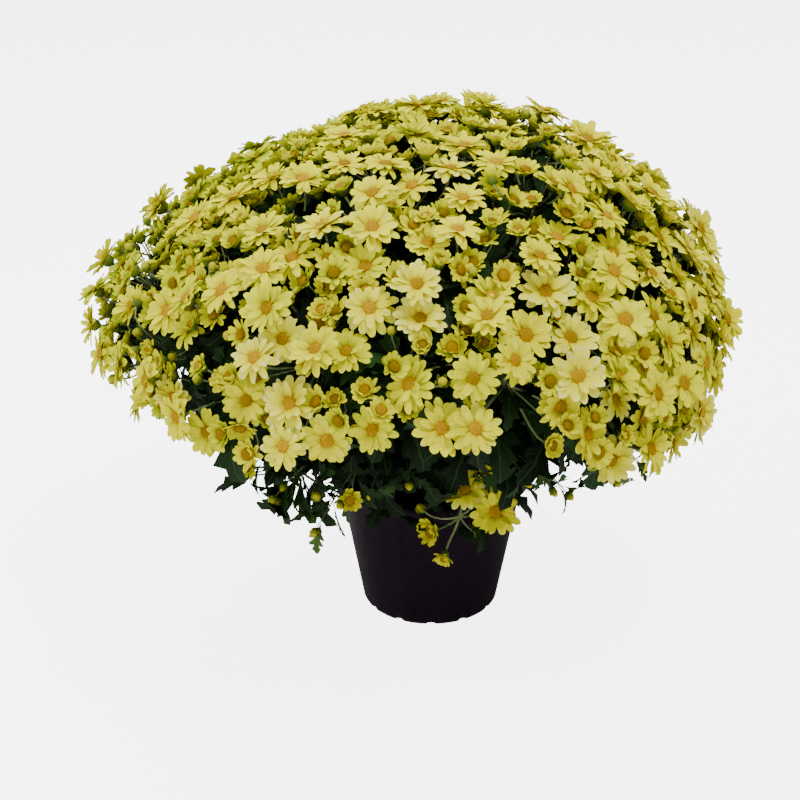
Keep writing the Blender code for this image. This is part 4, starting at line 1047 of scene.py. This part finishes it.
def discs(heads, kind, tone):
    """Domes of florets: the outline turned about each facing, with every other point raised."""
    tops = heads.place + heads.facing * (DISC_CROWN - DISC_DROPS[kind])
    outline, sides = (DISC_OUTLINE[::2], SMALL_DISC_SIDES) if kind == "young" else (DISC_OUTLINE, DISC_SIDES)
    return calyxes(tops, heads.facing, np.full(len(tone), DISC_CROWN), heads.radius * DISC_SHARES[kind],
                   outline, sides, DISC_RUFFLE, tone)


def shaded(places):
    """How much painted shade the heads get on the side of the plant away from the key light, at its upper
    left and back, where their petals are painted greener.
    """
    away = (places - DOME_CENTRE) / DOME_HALF_WIDTH
    return np.clip(away @ PAINTED_SHADE_SIDE, 0.0, 1.0)


def bloom_parts(heads):
    """Petals and discs of a spray's open, half-open and young heads."""
    parts = []
    for kind in ("open", "cup", "young"):
        chosen = heads.only(heads.kind == kind)
        if not len(chosen.kind):
            continue
        # Painted shade lowers the tone of the petals on the plant's upper left and back, which paints them
        # greener
        tone = growing.uniform(*PETAL_TONES[kind], len(chosen.kind)) - PAINTED_SHADE_TONE * shaded(chosen.place)
        for row in WHORLS[kind]:
            parts.append((whorl(chosen, tone, *row), PETAL_YELLOW))
        parts.append((discs(chosen, kind, growing.uniform(*DISC_TONES[kind], len(tone))), DISC_ORANGE))
    return parts


def bud_bracts(heads):
    """Green bracts that wrap the buds, and leave their yellow tops bare."""
    buds = heads.only(heads.kind == "bud")
    if not len(buds.kind):
        return []
    return [whorl(buds, np.zeros(len(buds.kind)), *row) for row in WHORLS["bud"]]


for spray, young in zip(sprays, young_heads(np.random.default_rng(SEED + 2))):
    heads = spray.heads.joined(young)
    heads.facing = unit(heads.facing + growing.normal(0.0, HEAD_NOD, heads.facing.shape))
    new_piece(spray.name + "_blooms", bloom_parts(heads), [spray.name])
    cups = head_calyxes(heads) + bud_bracts(heads)
    green = [(head_stalks(spray, heads), STALK_GREEN)] + [(part, CALYX_GREEN) for part in cups]
    new_piece(spray.name + "_stalks", green, [spray.name])


# Stems and branches
# Nine leafy stems stand in the mix, eight in a ring and one in the middle. Each forks above the pot's rim
# into branches, and each branch ends at the knot of its spray.

STEM_COUNT = 8
STEM_CIRCLE_RADIUS = 46 * MM
STEM_FOOT_HEIGHT = 100 * MM
STEM_STATIONS = 9
STEM_BEND = 0.4
# Added straight up to a stem's way where it comes to its fork
STEM_ARRIVE_RISE = 60 * MM
FORK_RADIUS = 7.5 * MM
FORK_WIDTH_SHARE = 0.8
FORK_OUTLINE = np.array(((0.05, 0.4), (0.25, 0.85), (0.5, 1.0), (0.75, 0.85), (0.95, 0.4)))
FORK_SIDES = 10
FORK_RUFFLE = 0.03
FORK_TONE = 0.4
FORK_CIRCLE_RADIUS = 84 * MM
FORK_HEIGHT = 208 * MM
CENTRE_FORK_HEIGHT = 262 * MM
CENTRE_SHARE_RADIUS = 120 * MM
# Stations and bend of branches and side twigs, and what is added straight up or down to their unit ways
BRANCH_STATIONS = 14
TWIG_STATIONS = 12
BRANCH_BEND = 0.38
BRANCH_LEAVE_UP = 0.25
TWIG_LEAVE_UP = 0.7
TWIG_ARRIVE_DOWN = 0.9
# Tubes: radius, shares of it at their start and end, sides
STEM_TUBE = (5 * MM, (1.0, 0.85), 10)
BRANCH_TUBE = (2.6 * MM, (1.15, 0.8), 7)
TWIG_TUBE = (1.3 * MM, (1.0, 0.45), 5)
STEM_TONE = 0.15
BRANCH_TONES = (0.35, 0.8)
TWIG_TONES = (0.75, 1.0)
TWIG_BUD_RADII = (3.6 * MM, 5.0 * MM)
# Tips of the thin side twigs that hang out under the skirt
TWIGS = {"stem_1": ((112, -152, 196), (128, -138, 186), (88, -150, 205), (40, -150, 205)),
         "stem_2": ((205, -92, 196), (222, -60, 205), (176, -120, 192)),
         "stem_5": ((-60, 190, 205), (-110, 170, 195)), "stem_4": ((60, 195, 200), (120, 165, 195)),
         "stem_7": ((-212, -92, 222), (-226, -60, 236), (-190, -128, 214)),
         "stem_8": ((-176, -150, 216), (-150, -168, 196), (-112, -168, 162), (-88, -166, 190),
                    (-60, -158, 196), (-140, -160, 205), (-24, -152, 204))}


def stem_bark():
    """Green-brown stem skin, woody and darker towards the foot, with lengthwise ridges."""
    material, tree = new_material("stem_bark")
    _, _, tone = grown(tree)
    skin = ramp(tree, tone, [(0.0, (0.045, 0.035, 0.015)), (0.5, (0.045, 0.07, 0.016)),
                             (1.0, (0.22, 0.29, 0.09))])
    worn = mix(tree, mottle(tree, scale=60.0, fine=0.5, high=0.6), skin, (0.03, 0.035, 0.012))
    ridges = bump(tree, streaks(tree, (6.0, 4.0, 20.0), scale=2.0, detail=3.0), strength=0.7,
                  distance=0.8 * MM)
    return dressed(material, worn, ridges, roughness=0.65, gloss=0.2)


STEM_BARK = stem_bark()


class Stem:
    """A leafy stem: its foot, its fork, and the sprays that its branches carry."""

    def __init__(self, name, foot, fork, sprays):
        self.name = name
        self.foot = foot
        self.fork = fork
        self.sprays = sprays


def plant_stems():
    """Shares the sprays out among the stems: the top ones to the middle stem, the rest by azimuth."""
    azimuth = math.tau * (np.arange(STEM_COUNT) + 0.5) / STEM_COUNT
    outward = np.stack([np.sin(azimuth), -np.cos(azimuth), np.zeros(STEM_COUNT)], -1)
    stems = [Stem(f"stem_{number + 1}", way * STEM_CIRCLE_RADIUS + UP * STEM_FOOT_HEIGHT,
                  way * FORK_CIRCLE_RADIUS + UP * FORK_HEIGHT, []) for number, way in enumerate(outward)]
    stems.append(Stem(f"stem_{STEM_COUNT + 1}", UP * STEM_FOOT_HEIGHT, UP * CENTRE_FORK_HEIGHT, []))
    for spray in sprays:
        x, y, z = spray.hub
        if math.hypot(x, y) < CENTRE_SHARE_RADIUS and z > CENTRE_FORK_HEIGHT:
            stems[-1].sprays.append(spray)
        else:
            stems[int((math.atan2(x, -y) % math.tau) / math.tau * STEM_COUNT)].sprays.append(spray)
    return stems


def branch_paths(stem):
    """One curve from the fork to each spray's knot."""
    end = np.array([spray.hub for spray in stem.sprays])
    axis = np.array([spray.axis for spray in stem.sprays])
    start = np.broadcast_to(stem.fork, end.shape)
    leave = unit(unit(end - start) + UP * BRANCH_LEAVE_UP)
    return bent_paths(start, leave, end, axis, BRANCH_BEND, BRANCH_STATIONS)


def stem_path(stem):
    """The stalk from the mix to the fork."""
    arrive = unit(stem.fork - stem.foot + UP * STEM_ARRIVE_RISE)[None]
    return bent_paths(stem.foot[None], UP[None], stem.fork[None], arrive, STEM_BEND, STEM_STATIONS)


def twig_paths(stem):
    """Thin side twigs that rise from the fork and arch down to their tips."""
    end = np.array(TWIGS[stem.name]) * MM
    start = np.broadcast_to(stem.fork, end.shape)
    way = unit((end - start) * [1.0, 1.0, 0.0])
    return bent_paths(start, unit(way + UP * TWIG_LEAVE_UP), end, unit(way - UP * TWIG_ARRIVE_DOWN),
                      BRANCH_BEND, TWIG_STATIONS)


def stem_wood(stem):
    """The stalk, the swollen fork, the branches and the side twigs with their buds."""
    branches = branch_paths(stem)
    fork = calyxes((stem.fork + UP * FORK_RADIUS)[None], UP[None], np.array([2 * FORK_RADIUS]),
                   np.array([FORK_RADIUS * FORK_WIDTH_SHARE]), FORK_OUTLINE, FORK_SIDES, FORK_RUFFLE,
                   [FORK_TONE])
    pieces = [(tubes(stem_path(stem), *STEM_TUBE, [STEM_TONE]), STEM_BARK), (fork, STEM_BARK),
              (tubes(branches, *BRANCH_TUBE, growing.uniform(*BRANCH_TONES, len(branches))), STEM_BARK)]
    if stem.name in TWIGS:
        twigs = twig_paths(stem)
        pieces.append((tubes(twigs, *TWIG_TUBE, growing.uniform(*TWIG_TONES, len(twigs))), STEM_BARK))
        ahead = unit(twigs[:, -1] - twigs[:, -2])
        buds = Heads(["bud"] * len(twigs), twigs[:, -1] + ahead * CALYX_DROP["bud"], ahead,
                     growing.uniform(*TWIG_BUD_RADII, len(twigs)), np.zeros(len(twigs)))
        pieces += [(part, CALYX_GREEN) for part in head_calyxes(buds) + bud_bracts(buds)]
    return pieces


# Leaves
# Dark green, lobed and toothed blades on short petioles, turn by turn up every stem and branch, and smaller
# ones low in the fans of stalks. They fill the plant's inside and hang out under its skirt.

# Along and half width of one side of a leaf from its petiole's root to its tip, as shares
LEAF_OUTLINE = np.array(((-0.28, 0.045), (-0.03, 0.05), (0.06, 0.16), (0.15, 0.56), (0.21, 0.40), (0.30, 1.0),
                         (0.38, 0.88), (0.42, 0.36), (0.53, 0.90), (0.61, 0.74), (0.65, 0.30), (0.76, 0.52),
                         (0.86, 0.30), (0.94, 0.20), (1.0, 0.0)))
# The same leaf with fewer lobes, for the many that only show through gaps
PLAIN_LEAF_OUTLINE = np.array(((-0.28, 0.045), (-0.02, 0.06), (0.20, 0.80), (0.34, 1.0), (0.42, 0.45),
                               (0.58, 0.84), (0.68, 0.36), (0.84, 0.40), (1.0, 0.0)))
PETIOLE_SHARE = 0.28
# Thickness, camber, and how far the lobes point forward
LEAF_BODY = (0.35 * MM, 0.20, 0.38)
LEAF_FORM = (LEAF_OUTLINE[:, 0] + PETIOLE_SHARE, LEAF_OUTLINE[:-1, 1], BLADE_SECTION, *LEAF_BODY)
PLAIN_LEAF_FORM = (PLAIN_LEAF_OUTLINE[:, 0] + PETIOLE_SHARE, PLAIN_LEAF_OUTLINE[:-1, 1], BLADE_SECTION,
                   *LEAF_BODY)
LEAF_LENGTH = 40 * MM
LEAF_HALF_WIDTH = 16 * MM
# Least and greatest share of a leaf's size, and its lift in degrees
LEAF_SIZES = (0.75, 1.15)
LEAF_LIFTS = (0.0, 18.0)
# Middle and scatter of the droop to its tip, in degrees
LEAF_DROOP = (-42.0, 16.0)
# Scatter of its spacing as a share, of its lean in degrees, of its way ahead and of its twist
LEAF_SPACING_SCATTER = 0.3
LEAF_LEAN_SCATTER = 12.0
LEAF_WAY_SCATTER = 0.12
LEAF_TWIST_SCATTER = 0.3
GOLDEN_ANGLE = math.pi * (3.0 - math.sqrt(5.0))
# Leaves of each place: share of the way where they start and stop, spacing, size, lean in degrees, least and
# greatest tone, and least depth of their tips under the dome's skin
BRANCH_LEAVES = (0.05, 1.0, 11.5 * MM, 1.30, 64.0, (0.0, 1.0), 20 * MM)
STEM_LEAVES = (0.30, 1.0, 9.0 * MM, 0.95, 75.0, (0.0, 1.0), 26 * MM)
FAN_LEAVES = (0.10, 0.70, 10.0 * MM, 0.95, 74.0, (0.0, 1.0), 26 * MM)
TWIG_LEAVES = (0.15, 0.94, 7.5 * MM, 0.60, 52.0, (0.9, 1.6), -60 * MM)
# Painted shade: leaves are painted darker the deeper their tips lie under the dome's skin, and darkest at
# this depth
SHADE_PAINT_DEPTH = 150 * MM
# No leaf passes before or through a head, but for the young ones: how far off the head's place the middle of
# its front is, and the share of its radius that is kept free
HEAD_FRONT = 7 * MM
HEAD_KEEP_SHARE = 0.8
HEAD_FRONTS = np.concatenate([spray.heads.place + spray.heads.facing * HEAD_FRONT for spray in sprays])
HEAD_KEEPS = np.concatenate([spray.heads.radius for spray in sprays]) * HEAD_KEEP_SHARE
# Side veins: how far they slant towards the tip, and how many radians of their wave a leaf's length holds
LEAF_VEIN_SLANT = -0.16
LEAF_VEIN_WAVE = 52.0


def leaf_green():
    """Dark green leaf, paler and greyer on some, painted darker deep inside the plant as painted shade, with
    a light midrib and side veins, lightly glossy.
    """
    material, tree = new_material("leaf_green")
    along, across, tone = grown(tree)
    # The tone also carries painted shade: leaves deep inside the plant get the darkest end of this ramp
    body = ramp(tree, tone, [(0.0, (0.004, 0.012, 0.003)), (0.45, (0.010, 0.032, 0.006)),
                             (0.8, (0.030, 0.090, 0.015)), (1.0, (0.12, 0.25, 0.05))])
    shade = mix(tree, mottle(tree, scale=80.0, fine=0.5, high=0.45), body, (0.003, 0.010, 0.003))
    off = arithmetic(tree, "ABSOLUTE", across)
    midrib = rescaled(tree, off, 0.04, 0.14, 1.0, 0.0)
    slanted = arithmetic(tree, "MULTIPLY_ADD", off, LEAF_VEIN_SLANT, along)
    wave = arithmetic(tree, "SINE", arithmetic(tree, "MULTIPLY", slanted, LEAF_VEIN_WAVE))
    veins = arithmetic(tree, "MAXIMUM", midrib, rescaled(tree, wave, 0.80, 1.0, 0.0, 0.5))
    veined = mix(tree, arithmetic(tree, "MULTIPLY", veins, 0.5), shade, (0.04, 0.09, 0.025))
    quilt = bump(tree, veins, strength=0.7, distance=0.7 * MM, invert=True)
    return dressed(material, veined, quilt, roughness=0.55, gloss=0.10)


LEAF_GREEN = leaf_green()


def leaves_on(paths, first_share, last_share, spacing, size, lean, tones, least_depth, form):
    """Leaves turn by turn up many paths: each stands off its path by lean from the way ahead, at the golden
    angle from the one before, and droops to its tip. Those deep inside the plant are painted darkest, as
    painted shade, and none comes within the least depth of the dome's skin, where the heads are."""
    starts = []
    for path in paths:
        steps = np.linalg.norm(np.diff(path, axis=0), axis=1)
        run = np.concatenate([[0.0], np.cumsum(steps)])
        spots = np.arange(run[-1] * first_share, run[-1] * last_share, spacing)
        spots = spots + growing.uniform(-LEAF_SPACING_SCATTER, LEAF_SPACING_SCATTER, len(spots)) * spacing
        root = np.stack([np.interp(spots, run, path[:, axis]) for axis in range(3)], -1)
        ahead = np.gradient(path, axis=0)
        way = unit(np.stack([np.interp(spots, run, ahead[:, axis]) for axis in range(3)], -1))
        first, second = square_to(way)
        turn = np.arange(len(spots)) * GOLDEN_ANGLE + growing.uniform(0.0, math.tau)
        out = first * np.cos(turn)[:, None] + second * np.sin(turn)[:, None]
        starts.append((root, way, out))
    root, way, out = (np.concatenate(found) for found in zip(*starts))
    tilt = np.radians(lean + growing.normal(0.0, LEAF_LEAN_SCATTER, len(root)))[:, None]
    scatter = growing.normal(0.0, LEAF_WAY_SCATTER, out.shape)
    ahead = unit(out * np.sin(tilt) + way * np.cos(tilt) + scatter)
    facing = unit(way - ahead * (way * ahead).sum(-1, keepdims=True))
    scale = size * growing.uniform(*LEAF_SIZES, len(root))
    tips = root + ahead * (scale * LEAF_LENGTH)[:, None]
    skin, _ = dome_point(dome_direction(tips), np.zeros(len(tips)))
    inside = np.linalg.norm(skin - DOME_CENTRE, axis=1) - np.linalg.norm(tips - DOME_CENTRE, axis=1)
    # Painted shade: the tone is lowered the deeper a leaf's tip lies inside the plant
    tone = growing.uniform(*tones, len(root)) * np.clip(1.0 - inside / SHADE_PAINT_DEPTH, 0.0, 1.0)
    kept = inside > least_depth
    for point in (tips, (root + tips) / 2):
        kept &= (np.linalg.norm(point[:, None] - HEAD_FRONTS, axis=-1) > HEAD_KEEPS).all(axis=1)
    count = kept.sum()
    length = scale[kept] * LEAF_LENGTH * (1.0 + PETIOLE_SHARE)
    lift = np.radians(growing.uniform(*LEAF_LIFTS, count))
    droop = np.radians(growing.normal(*LEAF_DROOP, count))
    twist = growing.normal(0.0, LEAF_TWIST_SCATTER, count)
    return blades(root[kept], ahead[kept], facing[kept], length, scale[kept] * LEAF_HALF_WIDTH, lift, droop,
                  twist, tone[kept], form)


for stem in plant_stems():
    new_piece(stem.name + "_wood", stem_wood(stem), [stem.name])
    foliage = [(leaves_on(branch_paths(stem), *BRANCH_LEAVES, PLAIN_LEAF_FORM), LEAF_GREEN),
               (leaves_on(stem_path(stem), *STEM_LEAVES, LEAF_FORM), LEAF_GREEN)]
    fans = np.concatenate([stalk_paths(spray, spray.heads) for spray in stem.sprays])
    foliage.append((leaves_on(fans, *FAN_LEAVES, PLAIN_LEAF_FORM), LEAF_GREEN))
    if stem.name in TWIGS:
        foliage.append((leaves_on(twig_paths(stem), *TWIG_LEAVES, LEAF_FORM), LEAF_GREEN))
    new_piece(stem.name + "_leaves", foliage, [stem.name])


# Floor, light and camera
# A plain pale floor under soft studio light, and the camera at the photograph's angle.

CAMERA_TARGET = np.array([-0.0324, 0.0, 0.226])
CAMERA_DISTANCE = 1.8
CAMERA_ELEVATION = math.radians(22.0)
CAMERA_LENS = 78.5
CAMERA_SENSOR = 36.0
FLOOR_HALF_WIDTH = 20.0
WHITE = (1.0, 1.0, 1.0, 1.0)
# Strength of a glow that only the camera sees, on the floor and behind it, and of the light all round
FLOOR_GLOW = 5.0
WORLD_STRENGTH = 0.36
# Studio lights: place, height on the pot's axis that each is turned to, size, power and colour
LIGHTS = {"key": ((0.6, -0.8, 2.7), 0.3, 0.8, 50.0, (1.0, 1.0, 0.96)),
          "fill": ((-1.9, -0.8, 1.5), 0.3, 1.6, 28.0, (1.0, 1.0, 0.98)),
          "back": ((-0.3, 1.3, 2.3), 0.3, 1.4, 34.0, (1.0, 1.0, 0.98)),
          "low": ((-0.3, -2.0, 0.5), 0.25, 1.4, 6.0, (1.0, 1.0, 0.98))}


def camera_glow(tree, base):
    """A strength that adds the glow to its base where the camera sees it."""
    seen = node(tree, "ShaderNodeLightPath").outputs["Is Camera Ray"]
    return arithmetic(tree, "MULTIPLY_ADD", seen, FLOOR_GLOW, base)


def plain_floor():
    """A wide level white sheet under the pot's base, so bright to the camera that it shows nearly white."""
    half = FLOOR_HALF_WIDTH
    mesh = bpy.data.meshes.new("floor")
    mesh.from_pydata([(-half, -half, 0.0), (half, -half, 0.0), (half, half, 0.0), (-half, half, 0.0)], [],
                     [(0, 1, 2, 3)])
    material, tree = new_material("floor_paint")
    feed(tree, tree.nodes["Principled BSDF"],
         {"Base Color": (0.90, 0.90, 0.90, 1.0), "Roughness": 0.9, "Specular IOR Level": 0.2,
          "Emission Color": WHITE, "Emission Strength": camera_glow(tree, 0.0)})
    mesh.materials.append(material)
    floor = bpy.data.objects.new("floor", mesh)
    bpy.context.scene.collection.objects.link(floor)


def area_light(name, place, height, size, power, colour):
    """A square soft light at a place, turned to a height on the pot's axis."""
    lamp = bpy.data.lights.new(name, "AREA")
    lamp.shape = "SQUARE"
    lamp.size = size
    lamp.energy = power
    lamp.color = colour
    thing = bpy.data.objects.new(name, lamp)
    bpy.context.scene.collection.objects.link(thing)
    aim(thing, np.array(place), UP * height)


def aim(thing, place, target):
    """Puts a light or camera at a place with its -Z towards the target and its Y as upright as can be."""
    back = unit(place - target)
    right = unit(np.cross(UP, back))
    over = np.cross(back, right)
    matrix = np.eye(4)
    matrix[:3, 0] = right
    matrix[:3, 1] = over
    matrix[:3, 2] = back
    matrix[:3, 3] = place
    thing.matrix_world = Matrix(matrix.tolist())


plain_floor()
for name, light in LIGHTS.items():
    area_light(name, *light)
world = bpy.data.worlds.new("studio")
world.use_nodes = True
feed(world.node_tree, world.node_tree.nodes["Background"],
     {"Color": WHITE, "Strength": camera_glow(world.node_tree, WORLD_STRENGTH)})
bpy.context.scene.world = world
camera = bpy.data.cameras.new("camera")
camera.lens = CAMERA_LENS
camera.sensor_width = CAMERA_SENSOR
view = bpy.data.objects.new("camera", camera)
bpy.context.scene.collection.objects.link(view)
away = np.array([0.0, -math.cos(CAMERA_ELEVATION), math.sin(CAMERA_ELEVATION)])
aim(view, CAMERA_TARGET + CAMERA_DISTANCE * away, CAMERA_TARGET)
bpy.context.scene.camera = view
